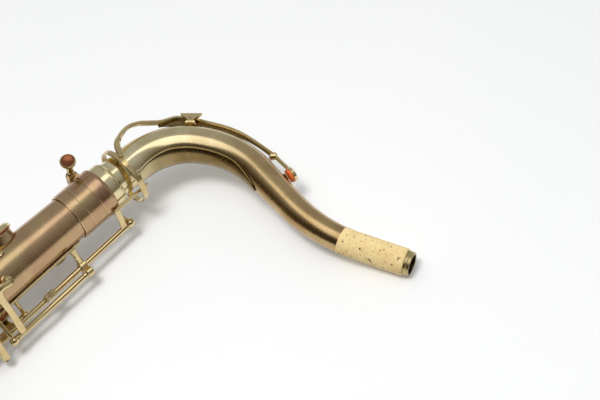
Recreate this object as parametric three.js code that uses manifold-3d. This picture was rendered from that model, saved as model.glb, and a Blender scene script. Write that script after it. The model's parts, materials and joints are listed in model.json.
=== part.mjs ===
import * as THREE from 'three';
import { mergeVertices } from 'three/addons/utils/BufferGeometryUtils.js';
import Module from 'manifold-3d';

// Tenor saxophone lying on its right side. Lengths are in millimetres.
// The instrument is drawn upright and laid down at the end: X runs up the body axis to the neck,
// Y to the front, where the bell is, and Z to the player's left. A drop is a distance down the body
// from the receiver's rim, and a turn is an angle round the body from the front to the left.

const wasm = await Module();
wasm.setup();
const { Manifold, Mesh: Shell } = wasm;

// Clearances and facets
const gap = 0.3;
const overrun = 3;
const weld = 1e-4;
const nearlyParallel = 0.9;
const facets = { body: 20, bow: 16, bell: 20, neck: 14, ring: 16, cup: 12, chimney: 10, rod: 6 };
const stepCounts = { neck: 18, bow: 10, bell: 7 };
const degree = Math.PI / 180;
const backTurn = 180;

// How it lies: angles about its own axes that bring its three lowest points level
const lie = { roll: 14.480, pitch: 1.504, yaw: 0 };

// Tubes
const body = { topDrop: 24.5, topRadius: 15.3, bottomDrop: 646, bottomRadius: 30.3, wall: 1 };
const bow = { straight: 12, bend: 52, startRadius: 30.3, endRadius: 35.3, wall: 1 };
const bell = { lean: 3.6, length: 345, taper: 6, flare: 34.7, flarePower: 5, wall: 1, bead: 2.2 };
const beadTurns = [225, 135, 45];
const ferrule = { length: 16, wall: 2.2, play: 0.8 };

// Receiver at the top of the body, with its clamp
const receiver = { rimRadius: 17.2, radius: 16.6, bore: 14.4, length: 28.5, flare: 4 };
const lug = { drop: 7, length: 9, thickness: 3.4, reach: 8, slot: 1.6, slotLength: 20, hole: 1.8 };
const clampScrew = { shank: 1.4, stem: 2.4, head: 5.3, thickness: 3, standoff: 15, tail: 4 };

// Neck: straight out of the receiver, over, forward and down to the cork
const neck = {
  tilt: 6.1,
  base: 3.3,
  rise: 24.3,
  firstBend: 47.3,
  firstTurn: 57.6,
  secondBend: 68.3,
  secondTurn: 41.5,
  reach: 33.5,
  dipBend: 110.7,
  dipTurn: 28,
  end: 36.8,
  baseRadius: 13.5,
  tipRadius: 7.4,
  wall: 1,
};
const tenon = { radius: 14, collarRadius: 15.6, collarLength: 8.6, wall: 1.4 };
const cork = { length: 43.7, radius: 8.9 };
const tip = { length: 5.7, radius: 8 };
const brace = {
  from: 20.5, to: 131, thickness: 1.6, startSpread: 30, spread: 46, pointSpread: 4, swell: 30, point: 26,
};
const pip = { along: 136.5, radius: 2.2, height: 3, foot: 3.4, footHeight: 1, bore: 0.9 };
const saddle = { along: 65.7, height: 6, width: 13, length: 9, thickness: 1.4, ear: 2, earWidth: 4 };

// Neck octave key: a loop round the collar, a strap over the bend, and the long arm to the pad
const loop = { rise: 18, radius: 20, width: 4, thickness: 1.4, offset: 3, offsetTurn: 200, strapTurn: 50 };
const strap = {
  width: 5, thickness: 2, height: 11, crest: 48, shoulder: 34, shoulderRoll: 12,
  end: 22, endRoll: 30, endHeight: 7,
};
const longArm = { width: 4.5, thickness: 2, bendShare: 0.37, bendHeight: 6.5, endShare: 0.74, endHeight: 5 };
const octavePad = { radius: 5, thickness: 2, cup: 2.4, arm: 2.6, open: 2.6 };

// Tone holes: chimney and the cup that covers it
const chimney = { wall: 1, height: 3, bellHeight: 4 };
const cupShape = {
  margin: 2, padInset: 1.2, padStand: 1, wall: 3, dome: 1.6, shoulderShare: 0.65, liftShare: 0.7,
};
const bodyHoles = {
  high_fs: { drop: 48, turn: -92, radius: 7 },
  palm_f: { drop: 72, turn: 26, radius: 9 },
  side_e: { drop: 101, turn: -102, radius: 8.5 },
  palm_eb: { drop: 134, turn: 34, radius: 9 },
  palm_d: { drop: 171, turn: 6, radius: 9 },
  side_c: { drop: 185, turn: -91, radius: 8.5 },
  c: { drop: 207, turn: 0, radius: 8.5 },
  side_bb: { drop: 233, turn: -81, radius: 8.5 },
  b: { drop: 246, turn: 0, radius: 10.5 },
  bis: { drop: 283, turn: 0, radius: 7.5 },
  a: { drop: 322, turn: 0, radius: 11.5 },
  g: { drop: 366, turn: 0, radius: 13.5 },
  gs: { drop: 405, turn: 22, radius: 12.5 },
  fs: { drop: 448, turn: 0, radius: 16 },
  f: { drop: 495, turn: 0, radius: 17.5 },
  e: { drop: 545, turn: 0, radius: 19 },
  d: { drop: 598, turn: 0, radius: 20 },
};
const vent = { drop: 89, turn: 131, radius: 1.2, pip: 2.2, height: 2.4 };
const bowHoles = {
  low_eb: { along: 53, radius: 21 },
  low_c: { along: 125, radius: 23 },
};
const bellHoles = {
  low_cs: { up: 58, side: 1, radius: 21 },
  low_b: { up: 135, side: -1, radius: 25 },
  low_bb: { up: 221, side: -1, radius: 26 },
};

// Key work: hinge tubes, posts, arms and touches
const hinge = { radius: 2, end: 9, postRadius: 3, postLength: 5, stem: 1.8 };
const arm = { width: 4.5, thickness: 2.4, sink: 0.6 };
const rib = { width: 5, thickness: 1.2, end: 6 };
const pearl = { radius: 8, thickness: 3.2 };
const paddle = { thickness: 2.6 };
const lines = {
  upper: { turn: -40, height: 17, footTurn: -43, keys: ['c_key', 'b_key', 'bis_key', 'a_key', 'g_key'] },
  lower: { turn: -40, height: 20, footTurn: -51, keys: ['fs_key', 'f_key', 'e_key', 'd_key'] },
  side_bb: { turn: -110, height: 14, footTurn: -112, keys: ['side_bb_key'] },
  side_c: { turn: -120, height: 14, footTurn: -124, keys: ['side_c_key'] },
  side_e: { turn: -132, height: 14, footTurn: -138, keys: ['side_e_key'] },
  high_fs: { turn: -64, height: 18, footTurn: -60, keys: ['high_fs_key'] },
  palm_f: { turn: 70, height: 13, footTurn: 74, keys: ['palm_f_key'] },
  palm_eb: { turn: 80, height: 14, footTurn: 80, keys: ['palm_eb_key'] },
  palm_d: { turn: 60, height: 13, footTurn: 66, keys: ['palm_d_key'] },
  gs: { turn: 53.5, height: 14.8, footTurn: 64, keys: ['gs_key'] },
};
const keys = {
  c_key: { hole: 'c', open: 9, standsOpen: true },
  b_key: {
    hole: 'b', open: 10, standsOpen: true, post: true,
    touch: { drop: 226, turn: 26, height: 11, round: 7.5 },
  },
  bis_key: { hole: 'bis', touch: { drop: 266.5, turn: 22, height: 11, round: 5 }, open: 8, standsOpen: true },
  a_key: {
    hole: 'a', open: 10, standsOpen: true, post: true,
    touch: { drop: 300, turn: 24, height: 11, round: 7.5 },
  },
  g_key: { hole: 'g', touch: { drop: 343, turn: 27, height: 11, round: 7.5 }, open: 10, standsOpen: true },
  gs_key: { hole: 'gs', touch: { drop: 416, turn: 96, height: 25, long: 18, wide: 14 }, open: 11 },
  fs_key: { hole: 'fs', open: 10, standsOpen: true, post: true },
  f_key: {
    hole: 'f', open: 10, standsOpen: true, post: true,
    touch: { drop: 495, turn: 22, height: 13, round: 8 },
  },
  e_key: {
    hole: 'e', open: 10, standsOpen: true, post: true,
    touch: { drop: 545, turn: 22, height: 13, round: 8 },
  },
  d_key: { hole: 'd', touch: { drop: 598, turn: 22, height: 13, round: 8 }, open: 10, standsOpen: true },
  side_bb_key: { hole: 'side_bb', touch: { drop: 394, turn: -126, height: 16, long: 27, wide: 9 }, open: 10 },
  side_c_key: { hole: 'side_c', touch: { drop: 362, turn: -137, height: 16, long: 27, wide: 9 }, open: 10 },
  side_e_key: { hole: 'side_e', touch: { drop: 330, turn: -149, height: 16, long: 27, wide: 9 }, open: 10 },
  high_fs_key: { hole: 'high_fs', touch: { drop: 412, turn: -48, height: 21, long: 20, wide: 9 }, open: 10 },
  palm_f_key: {
    hole: 'palm_f', elbow: 20, open: 9,
    touch: { drop: 116, turn: 98, height: 22, long: 26, wide: 11 },
  },
  palm_eb_key: { hole: 'palm_eb', touch: { drop: 152, turn: 104, height: 24, long: 28, wide: 12 }, open: 10 },
  palm_d_key: { hole: 'palm_d', touch: { drop: 192, turn: 92, height: 22, long: 32, wide: 13 }, open: 10 },
};

// Key work that stands off the bell and the bow: hinge lines by front and left of the body axis
const bellKeys = {
  low_cs_key: { front: 80, left: 46, upper: 430, lower: 612, hole: 'low_cs', open: 9 },
  low_b_key: { front: 78, left: -49, upper: 430, lower: 520, hole: 'low_b', open: 9, standsOpen: true },
  low_bb_key: { front: 88, left: -62, upper: 410, lower: 466, hole: 'low_bb', open: 9, standsOpen: true },
};
const bowKeys = {
  low_eb_key: { front: 43.5, left: -44, upper: 622, lower: 700, hole: 'low_eb', open: 10 },
  low_c_key: { front: 53, left: -45, upper: 638.5, lower: 708, hole: 'low_c', open: 10, standsOpen: true },
};
const table = { turn: 72, height: 21, left: 54, top: 430, bottom: 464 };
const spatulas = {
  low_cs_key: { drop: 440, front: 47, long: 19, wide: 15 },
  low_b_lever: { drop: 438.35, front: 23, long: 19, wide: 15, open: 7.7 },
  low_bb_lever: { drop: 455.65, front: 28, long: 14, wide: 26, open: 8.7 },
};
const tails = {
  low_b_key: { front: 57.8, left: 5.1 },
  low_bb_key: { front: 59.9, left: 0.5 },
};
const linkage = { tube: 16.4, endFront: 70, endLeft: 8, shoulderFront: 38, shoulderLeft: 40 };
const bowTouches = {
  low_eb_key: { drop: 628, front: 64, out: 4, long: 14, wide: 22 },
  low_c_key: { drop: 650, front: 68, out: 4, long: 14, wide: 24 },
};
const guard = { clear: 5, leg: 2, width: 6, thickness: 2.4, plate: 11, room: 9 };
const guardTurns = {
  low_eb: [150, 250, 330], low_c: [20, 110, 260], low_b: [30, 110, 300], low_bb: [60, 330],
};
const bellBrace = {
  drop: 519, front: 50, left: 26, radius: 13, width: 5, bodyTurn: 58, foot: 7, footHeight: 1.6, strut: 2.2,
};

// Octave mechanism on the back of the body, its places below the vent measured from the vent
const belowVent = { arm: 10, keyEnd: 15, leverTop: 19.5, tails: 28, riserEnd: 32, ribEnd: 41 };
const octaveDrops = Object.fromEntries(
  Object.entries(belowVent).map(([place, reach]) => [place, vent.drop + reach]),
);
const riser = {
  turn: 215, height: 14, top: 1.5, bottom: octaveDrops.riserEnd, footTurn: 237,
  tailDrop: octaveDrops.tails, tailTurn: 218, tailHeight: 26,
};
const riserPin = {
  drop: 3.7, turn: 177, radius: 1.1, reach: 18.7, top: 24, crank: 1.8, crankTurn: 195, open: 10.5,
};
const ventKey = {
  turn: 207, height: 19, top: 44.5, bottom: octaveDrops.keyEnd, armDrop: octaveDrops.arm,
  endHeight: 11, cup: 3.6, open: 8,
};
const thumbLever = {
  turn: 128, height: 12, top: octaveDrops.leverTop, bottom: 250, open: 3.5,
  touchTurn: 166, touchDrop: 237, touchHeight: 11, long: 22, wide: 16, tailTurn: 211, tailHeight: 24,
};
const octaveBlock = { drop: 71, length: 8, width: 4.4, depth: 7, shift: 2.5, faceTurn: 112 };
const octaveRib = { turn: 199, top: 34, bottom: octaveDrops.ribEnd, bearing: 4.2, stem: 2.5 };

// Fittings on the back of the body
const strapRing = { drop: 328, radius: 10, hole: 6.5, width: 4, plate: 2, long: 22, wide: 12, sink: 1.5 };
const thumbHook = { drop: 438, plate: 2.4, wide: 14, long: 26, rise: 8, bend: 12, tip: 8, lap: 0.8 };
const hookShares = [0, 0.25, 0.45, 0.6, 0.75, 1];
const thumbRest = { drop: 268, radius: 10, height: 4, crownShare: 0.6 };

// Small helpers

const vector = (x, y, z) => new THREE.Vector3(x, y, z);
const upward = vector(1, 0, 0);
const forward = vector(0, 1, 0);
const left = vector(0, 0, 1);

function bodyRadius(drop) {
  const share = (drop - body.topDrop) / (body.bottomDrop - body.topDrop);
  return body.topRadius + share * (body.bottomRadius - body.topRadius);
}

function radial(turn) {
  return vector(0, Math.cos(turn * degree), Math.sin(turn * degree));
}

function onBody(drop, turn, height) {
  return radial(turn).multiplyScalar(bodyRadius(drop) + height).setX(-drop);
}

function along(point, direction, distance) {
  return point.clone().addScaledVector(direction, distance);
}

// A matrix whose X axis is the given one and whose Z axis leans as near to the second as it can
function frame(origin, xAxis, zHint) {
  const x = xAxis.clone().normalize();
  const z = zHint.clone().addScaledVector(x, -zHint.dot(x)).normalize();
  const y = z.clone().cross(x);
  return new THREE.Matrix4().makeBasis(x, y, z).setPosition(origin);
}

function anyNormal(direction) {
  return Math.abs(direction.clone().normalize().z) > nearlyParallel ? upward : left;
}

// Solids: a geometry becomes one closed body that can be joined or cut

function toSolid(geometry) {
  const bare = geometry.clone();
  bare.deleteAttribute('normal');
  bare.deleteAttribute('uv');
  const merged = mergeVertices(bare, weld);
  const corners = merged.index.array;
  const position = merged.attributes.position;
  const [a, b, c] = [vector(), vector(), vector()];
  const kept = [];
  let volume = 0;
  for (let i = 0; i < corners.length; i += 3) {
    const [p, q, r] = corners.slice(i, i + 3);
    if (p === q || q === r || r === p) continue;
    kept.push(p, q, r);
    a.fromBufferAttribute(position, p);
    b.fromBufferAttribute(position, q);
    c.fromBufferAttribute(position, r);
    volume += a.dot(b.cross(c));
  }
  if (volume < 0) kept.reverse();
  const vertProperties = new Float32Array(position.array);
  return new Manifold(new Shell({ numProp: 3, vertProperties, triVerts: new Uint32Array(kept) }));
}

function toGeometry(solid) {
  const { vertProperties, triVerts } = solid.getMesh();
  const geometry = new THREE.BufferGeometry();
  geometry.setAttribute('position', new THREE.BufferAttribute(vertProperties, 3));
  geometry.setIndex(new THREE.BufferAttribute(triVerts, 1));
  return geometry;
}

const solidOf = (piece) => (piece instanceof Manifold ? piece : toSolid(piece));
const join = (...pieces) => pieces.flat().map(solidOf).reduce((whole, piece) => whole.add(piece));
const cut = (piece, ...tools) =>
  tools.flat().map(solidOf).reduce((whole, tool) => whole.subtract(tool), solidOf(piece));

// Turned on the X axis from pairs of distance along and radius
function turned(profile, sides) {
  const points = profile.map(([distance, radius]) => new THREE.Vector2(radius, distance));
  return new THREE.LatheGeometry(points, sides).rotateZ(-Math.PI / 2);
}

function standing(profile, sides, foot, direction) {
  return turned(profile, sides).applyMatrix4(frame(foot, direction, anyNormal(direction)));
}

function rod(from, to, radius, sides = facets.rod) {
  const length = from.distanceTo(to);
  return standing([[0, 0], [0, radius], [length, radius], [length, 0]], sides, from, to.clone().sub(from));
}

function ring(foot, direction, outer, inner, length, sides) {
  const profile = [[0, inner], [0, outer], [length, outer], [length, inner], [0, inner]];
  return standing(profile, sides, foot, direction);
}

function bar(from, to, width, thickness, normal) {
  const direction = to.clone().sub(from);
  const length = direction.length();
  return new THREE.BoxGeometry(length, width, thickness)
    .translate(length / 2, 0, 0)
    .applyMatrix4(frame(from, direction, normal));
}

function mesh(name, geometry, material) {
  const shape = geometry instanceof Manifold ? toGeometry(geometry) : geometry;
  const made = new THREE.Mesh(shape, material.clone());
  made.name = name;
  return made;
}

// A centre line of straight runs and round bends, all in one plane
class BentLine extends THREE.Curve {
  constructor(start, ahead, across, runs) {
    super();
    Object.assign(this, { start, ahead, across, runs });
    this.reach = runs.reduce((sum, run) => sum + BentLine.lengthOf(run), 0);
  }

  static lengthOf(run) {
    return run.straight ?? run.bend * Math.abs(run.turn) * degree;
  }

  // Point, direction and sideways direction at a distance; past an end the line runs straight on
  at(distance) {
    const here = this.start.clone();
    const ahead = this.ahead.clone();
    const across = this.across.clone();
    if (distance < 0) return { point: along(here, ahead, distance), ahead, across };
    let remaining = distance;
    for (const run of this.runs) {
      const length = Math.min(remaining, BentLine.lengthOf(run));
      if (run.bend && length > 0) {
        const side = Math.sign(run.turn);
        const angle = (side * length) / run.bend;
        here.addScaledVector(ahead, run.bend * Math.sin(Math.abs(angle)));
        here.addScaledVector(across, side * run.bend * (1 - Math.cos(angle)));
        const turnedAhead = ahead.clone().multiplyScalar(Math.cos(angle));
        turnedAhead.addScaledVector(across, Math.sin(angle));
        across.multiplyScalar(Math.cos(angle)).addScaledVector(ahead, -Math.sin(angle));
        ahead.copy(turnedAhead);
      } else {
        here.addScaledVector(ahead, length);
      }
      remaining -= length;
    }
    here.addScaledVector(ahead, remaining);
    return { point: here, ahead, across };
  }

  getPoint(share) {
    return this.at(share * this.reach).point;
  }
}

// A closed solid of round sections along a line
function loft(line, radiusAt, from, to, steps, sides) {
  const positions = [];
  const indices = [];
  const addPoint = (point) => positions.push(point.x, point.y, point.z) / 3 - 1;
  const rings = [];
  for (let i = 0; i <= steps; i += 1) {
    const distance = from + ((to - from) * i) / steps;
    const { point, ahead, across } = line.at(distance);
    const third = ahead.clone().cross(across);
    const first = positions.length / 3;
    for (let j = 0; j < sides; j += 1) {
      const angle = (j / sides) * 2 * Math.PI;
      const out = across.clone().multiplyScalar(Math.cos(angle));
      out.addScaledVector(third, Math.sin(angle));
      addPoint(along(point, out, radiusAt(distance)));
    }
    rings.push({ first, point });
  }
  const caps = [rings[0], rings[steps]].map(({ point }) => addPoint(point));
  for (let j = 0; j < sides; j += 1) {
    const k = (j + 1) % sides;
    for (let i = 0; i < steps; i += 1) {
      const [a, b] = [rings[i].first, rings[i + 1].first];
      indices.push(a + j, a + k, b + k, a + j, b + k, b + j);
    }
    indices.push(caps[0], rings[0].first + k, rings[0].first + j);
    indices.push(caps[1], rings[steps].first + j, rings[steps].first + k);
  }
  const geometry = new THREE.BufferGeometry();
  geometry.setAttribute('position', new THREE.Float32BufferAttribute(positions, 3));
  geometry.setIndex(indices);
  return geometry;
}

// Materials
const finish = (color, roughness, metalness) =>
  new THREE.MeshStandardMaterial({ color, roughness, metalness });
const bronze = finish(0x8a6a4c, 0.38, 1);
const brass = finish(0xc9a860, 0.22, 1);
const corkStuff = finish(0xd9b98a, 0.9, 0);

// Centre lines of the bow, the bell and the neck

const bowLine = new BentLine(vector(-body.bottomDrop - gap, 0, 0), vector(-1, 0, 0), vector(0, 1, 0), [
  { straight: bow.straight },
  { bend: bow.bend, turn: 180 - bell.lean },
  { straight: bow.straight },
]);
const bellFoot = bowLine.at(bowLine.reach + gap);
const bellAxis = bellFoot.ahead;
const bellFront = vector(-bellAxis.y, bellAxis.x, 0);
const neckAcross = vector(0, -Math.cos(neck.tilt * degree), Math.sin(neck.tilt * degree));
const neckLine = new BentLine(vector(neck.base, 0, 0), upward, neckAcross, [
  { straight: neck.rise },
  { bend: neck.firstBend, turn: neck.firstTurn },
  { bend: neck.secondBend, turn: neck.secondTurn },
  { straight: neck.reach },
  { bend: neck.dipBend, turn: -neck.dipTurn },
  { straight: neck.end },
]);

const neckRadius = (distance) =>
  neck.baseRadius + (distance / neckLine.reach) * (neck.tipRadius - neck.baseRadius);
const bowRadius = (distance) =>
  bow.startRadius + (distance / bowLine.reach) * (bow.endRadius - bow.startRadius);

function bellRadius(up) {
  const share = up / bell.length;
  return bow.endRadius + bell.taper * share + bell.flare * share ** bell.flarePower;
}

// Places where a chimney stands: the crown point, the way out and the tube's axis behind it
function bodyPlace({ drop, turn }) {
  const axis = vector(-drop, 0, 0);
  return { point: onBody(drop, turn, 0), out: radial(turn), axis, height: chimney.height };
}

function bowPlace({ along: distance }) {
  const { point } = bowLine.at(distance);
  const out = left.clone().negate();
  return { point: along(point, out, bowRadius(distance)), out, axis: point, height: chimney.bellHeight };
}

function bellPlace({ up, side }) {
  const out = left.clone().multiplyScalar(side);
  const foot = along(bellFoot.point, bellAxis, up);
  return { point: along(foot, out, bellRadius(up)), out, axis: foot, height: chimney.bellHeight };
}

function chimneyOuter(place, radius) {
  return rod(place.axis, along(place.point, place.out, place.height), radius + chimney.wall, facets.chimney);
}

function chimneyBore(place, radius) {
  return rod(place.axis, along(place.point, place.out, place.height + overrun), radius, facets.chimney);
}

// The tube solid with its chimneys, its bore and its holes
function pierced(outer, inner, places) {
  const outside = join(outer, places.map(({ place, radius }) => chimneyOuter(place, radius)));
  return cut(outside, inner, places.map(({ place, radius }) => chimneyBore(place, radius)));
}

// Posts: a stem from its foot to a round head on the hinge line
function post(foot, head, direction = upward) {
  const half = hinge.postLength / 2;
  return join(
    rod(foot, head, hinge.stem),
    rod(along(head, direction, -half), along(head, direction, half), hinge.postRadius),
  );
}

const riserLine = (drop) => onBody(drop, riser.turn, riser.height);

function makeBodyTube() {
  const length = body.bottomDrop - body.topDrop;
  const cone = (shrink, extra) => {
    const slope = (body.bottomRadius - body.topRadius) / length;
    const top = body.topRadius - shrink - slope * extra;
    const bottom = body.bottomRadius - shrink + slope * extra;
    const profile = [[-length - extra, 0], [-length - extra, bottom], [extra, top], [extra, 0]];
    return turned(profile, facets.body).translate(-body.topDrop, 0, 0);
  };
  const holes = Object.values(bodyHoles).map((hole) => ({ place: bodyPlace(hole), radius: hole.radius }));
  const inner = cone(body.wall, overrun);
  const tube = pierced(cone(0, 0), inner, holes);
  const ventPlace = { ...bodyPlace(vent), height: vent.height };
  const pipTop = along(ventPlace.point, ventPlace.out, vent.height);
  const ventPip = cut(rod(ventPlace.axis, pipTop, vent.pip), inner);
  const rooted = (line, turn) => (drop) =>
    cut(post(onBody(drop, turn, -body.wall / 2), lineAt(line, drop)), inner);
  const linePosts = fusedLines.flatMap((line) => shareLine(line).posts.map(rooted(line, line.footTurn)));
  const leverPosts = [thumbLever, table].flatMap((line) => leverPostDrops(line).map(rooted(line, line.turn)));
  const axisPoint = (head) => vector(head.x, 0, 0);
  const lowPosts = Object.values(bowKeys).map((key) => standPosts(key, axisPoint, inner)[0]);
  const made = join(tube, ventPip, linePosts, leverPosts, lowPosts);
  return mesh('body_tube', cut(made, chimneyBore(ventPlace, vent.radius)), bronze);
}

// The bow's outside, let out by a clearance
function bowSolid(extra) {
  const radiusAt = (distance) => bowRadius(distance) + extra;
  return loft(bowLine, radiusAt, 0, bowLine.reach, stepCounts.bow, facets.bow);
}

function makeBow() {
  const reach = bowLine.reach;
  const bore = (distance) => bowRadius(distance) - bow.wall;
  const inner = loft(bowLine, bore, -overrun, reach + overrun, stepCounts.bow, facets.bow);
  const places = Object.values(bowHoles).map((hole) => ({ place: bowPlace(hole), radius: hole.radius }));
  const posts = Object.values(bowKeys).map((key) => standPosts(key, bowCentre, inner)[1]);
  return mesh('bow', join(pierced(bowSolid(0), inner, places), posts), bronze);
}

// Distance up the bell and radius, closer together toward the rim
function bellWall() {
  return Array.from({ length: stepCounts.bell + 1 }, (_, i) => {
    const up = bell.length * Math.sqrt(i / stepCounts.bell);
    return [up, bellRadius(up)];
  });
}

const bellSeat = () => frame(bellFoot.point, bellAxis, left);

// The bell's outside with its rolled rim, let out by a clearance
function bellSolid(extra) {
  const wall = bellWall().map(([up, radius]) => [up, radius + extra]);
  const [, rim] = wall.pop();
  const bead = beadTurns.map((turn) => [
    bell.length + bell.bead * Math.sin(turn * degree),
    rim - bell.bead * Math.cos(turn * degree),
  ]);
  return turned([[0, 0], ...wall, ...bead, [bell.length, 0]], facets.bell).applyMatrix4(bellSeat());
}

function makeBell() {
  const inside = bellWall().map(([up, radius]) => [up, radius - bell.wall]);
  const mouth = [bell.length + overrun, inside.at(-1)[1]];
  const profile = [[-overrun, 0], [-overrun, inside[0][1]], ...inside, mouth, [mouth[0], 0]];
  const inner = turned(profile, facets.bell).applyMatrix4(bellSeat());
  const places = Object.values(bellHoles).map((hole) => ({ place: bellPlace(hole), radius: hole.radius }));
  const posts = Object.values(bellKeys).flatMap((key) => standPosts(key, bellCentre, inner));
  return mesh('bell', join(pierced(bellSolid(0), inner, places), posts), bronze);
}

const box = (x, y, z) => new THREE.BoxGeometry(x, y, z);

function makeReceiver() {
  const seat = bodyRadius(receiver.length) + gap;
  const step = gap - body.topDrop;
  const tube = turned([
    [-receiver.length, seat], [-receiver.length, receiver.radius], [-receiver.flare, receiver.radius],
    [0, receiver.rimRadius], [0, receiver.bore], [step, receiver.bore],
    [step, seat], [-receiver.length, seat],
  ], facets.body);
  const depth = receiver.radius - receiver.bore;
  const rooted = lug.reach + depth / 2;
  const ears = box(lug.length, rooted, 2 * lug.thickness + lug.slot)
    .translate(-lug.drop, receiver.bore + depth / 2 + rooted / 2, 0);
  const slot = box(lug.slotLength + overrun, lug.reach + 2 * depth + overrun, lug.slot)
    .translate((overrun - lug.slotLength) / 2, receiver.bore + lug.reach / 2, 0);
  const screwEnd = lug.thickness + lug.slot + overrun;
  const hole = rod(clampPoint(-screwEnd), clampPoint(screwEnd), lug.hole);
  const foot = radial(riser.footTurn).multiplyScalar(receiver.radius - depth / 2).setX(-receiver.flare / 2);
  const octavePost = post(foot, riserLine(-hinge.postLength / 2 + riser.top - gap));
  return mesh('receiver', join(cut(join(tube, ears), slot, hole), octavePost), bronze);
}

// A point on the clamp screw's axis
function clampPoint(across) {
  return vector(-lug.drop, receiver.radius + lug.reach / 2, across);
}

function makeClampScrew() {
  const start = lug.thickness + lug.slot / 2 + gap;
  const profile = [
    [-start - clampScrew.tail, 0], [-start - clampScrew.tail, clampScrew.shank], [start, clampScrew.shank],
    [start, clampScrew.stem], [start + clampScrew.standoff, clampScrew.stem],
    [start + clampScrew.standoff, clampScrew.head],
    [start + clampScrew.standoff + clampScrew.thickness, clampScrew.head],
    [start + clampScrew.standoff + clampScrew.thickness, 0],
  ];
  const screw = mesh('receiver_screw', turned(profile, facets.cup), brass);
  const seat = new THREE.Group();
  seat.applyMatrix4(frame(clampPoint(0), left, upward));
  seat.add(screw);
  screw.userData = { travel: 90 };
  return seat;
}

// Neck

// A point on the neck at a distance along it, rolled round from the outside of the bend to the left
function onNeck(distance, roll, height) {
  const { point, ahead, across } = neckLine.at(distance);
  const out = across.clone().negate();
  const side = ahead.clone().cross(out);
  const way = out.multiplyScalar(Math.cos(roll * degree)).addScaledVector(side, Math.sin(roll * degree));
  return { point: along(point, way, neckRadius(distance) + height), out: way, ahead, side };
}

function makeNeckTube() {
  const reach = neckLine.reach;
  const outer = loft(neckLine, neckRadius, 0, reach, stepCounts.neck, facets.neck);
  const bore = (distance) => neckRadius(distance) - neck.wall;
  const inner = loft(neckLine, bore, -overrun, reach + overrun, stepCounts.neck, facets.neck);
  const hole = onNeck(pip.along, 0, overrun);
  const drill = rod(onNeck(pip.along, 0, -neck.wall - overrun).point, hole.point, pip.bore);
  return mesh('neck_tube', cut(outer, inner, drill), bronze);
}

function makeTenon() {
  const socket = neck.baseRadius + gap;
  const top = gap + tenon.collarLength;
  const inner = tenon.radius - tenon.wall;
  return mesh('neck_tenon', join(turned([
    [gap - body.topDrop, inner], [gap - body.topDrop, tenon.radius], [gap, tenon.radius],
    [gap, tenon.collarRadius], [top, tenon.collarRadius], [top, socket],
    [neck.base - gap, socket], [neck.base - gap, inner], [gap - body.topDrop, inner],
  ], facets.body)), brass);
}

// A sleeve that follows the neck between two distances
function neckSleeve(name, from, to, outerAt, steps, material) {
  const outer = loft(neckLine, outerAt, from, to, steps, facets.neck);
  const clear = (distance) => neckRadius(distance) + gap;
  const inner = loft(neckLine, clear, from - overrun, to + overrun, steps, facets.neck);
  return mesh(name, cut(outer, inner), material);
}

// The stiffening plate inside the bend has a section at each section of the tube and lies on its facets.
// It swells from its foot to its full spread and ends in a point.
function makeNeckBrace() {
  const step = neckLine.reach / stepCounts.neck;
  const facet = 360 / facets.neck;
  const stations = [brace.from];
  for (let i = Math.ceil(brace.from / step); i * step < brace.to; i += 1) stations.push(i * step);
  stations.push(brace.to);
  const spreadAt = (distance) => {
    const swell = Math.min((distance - brace.from) / brace.swell, 1);
    const point = Math.min((brace.to - distance) / brace.point, 1);
    const full = brace.startSpread + (brace.spread - brace.startSpread) * swell;
    return brace.pointSpread + (full - brace.pointSpread) * Math.sqrt(point);
  };
  const rolls = (distance) => {
    const spread = spreadAt(distance);
    return [-spread, -Math.min(facet, spread / 2), 0, Math.min(facet, spread / 2), spread];
  };
  const rows = (height) => stations.map((distance) =>
    rolls(distance).map((roll) => onNeck(distance, backTurn + roll, height).point));
  return mesh('neck_brace', join(sheet(rows(gap), rows(gap + brace.thickness))), brass);
}

// A closed solid between two grids of points, rows along it and the same number of points in each
function sheet(under, over) {
  const rows = under.length;
  const width = under[0].length;
  const positions = [under, over].flat(2).flatMap((point) => point.toArray());
  const at = (side, row, i) => (side * rows + row) * width + i;
  const indices = [];
  const quad = (a, b, c, d) => indices.push(a, b, c, a, c, d);
  for (let row = 0; row < rows - 1; row += 1) {
    for (let i = 0; i < width - 1; i += 1) {
      quad(at(0, row, i), at(0, row + 1, i), at(0, row + 1, i + 1), at(0, row, i + 1));
      quad(at(1, row, i), at(1, row, i + 1), at(1, row + 1, i + 1), at(1, row + 1, i));
    }
    for (const [i, a, b] of [[0, 1, 0], [width - 1, 0, 1]]) {
      quad(at(a, row, i), at(a, row + 1, i), at(b, row + 1, i), at(b, row, i));
    }
  }
  for (let i = 0; i < width - 1; i += 1) {
    quad(at(0, 0, i), at(0, 0, i + 1), at(1, 0, i + 1), at(1, 0, i));
    quad(at(0, rows - 1, i), at(1, rows - 1, i), at(1, rows - 1, i + 1), at(0, rows - 1, i + 1));
  }
  const geometry = new THREE.BufferGeometry();
  geometry.setAttribute('position', new THREE.Float32BufferAttribute(positions, 3));
  geometry.setIndex(indices);
  return geometry;
}

function makePip() {
  const { point, out } = onNeck(pip.along, 0, gap);
  const profile = [
    [0, pip.bore], [0, pip.foot], [pip.footHeight, pip.foot], [pip.footHeight, pip.radius],
    [pip.height, pip.radius], [pip.height, pip.bore], [0, pip.bore],
  ];
  return mesh('neck_pip', join(standing(profile, facets.cup, point, out)), brass);
}

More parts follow.
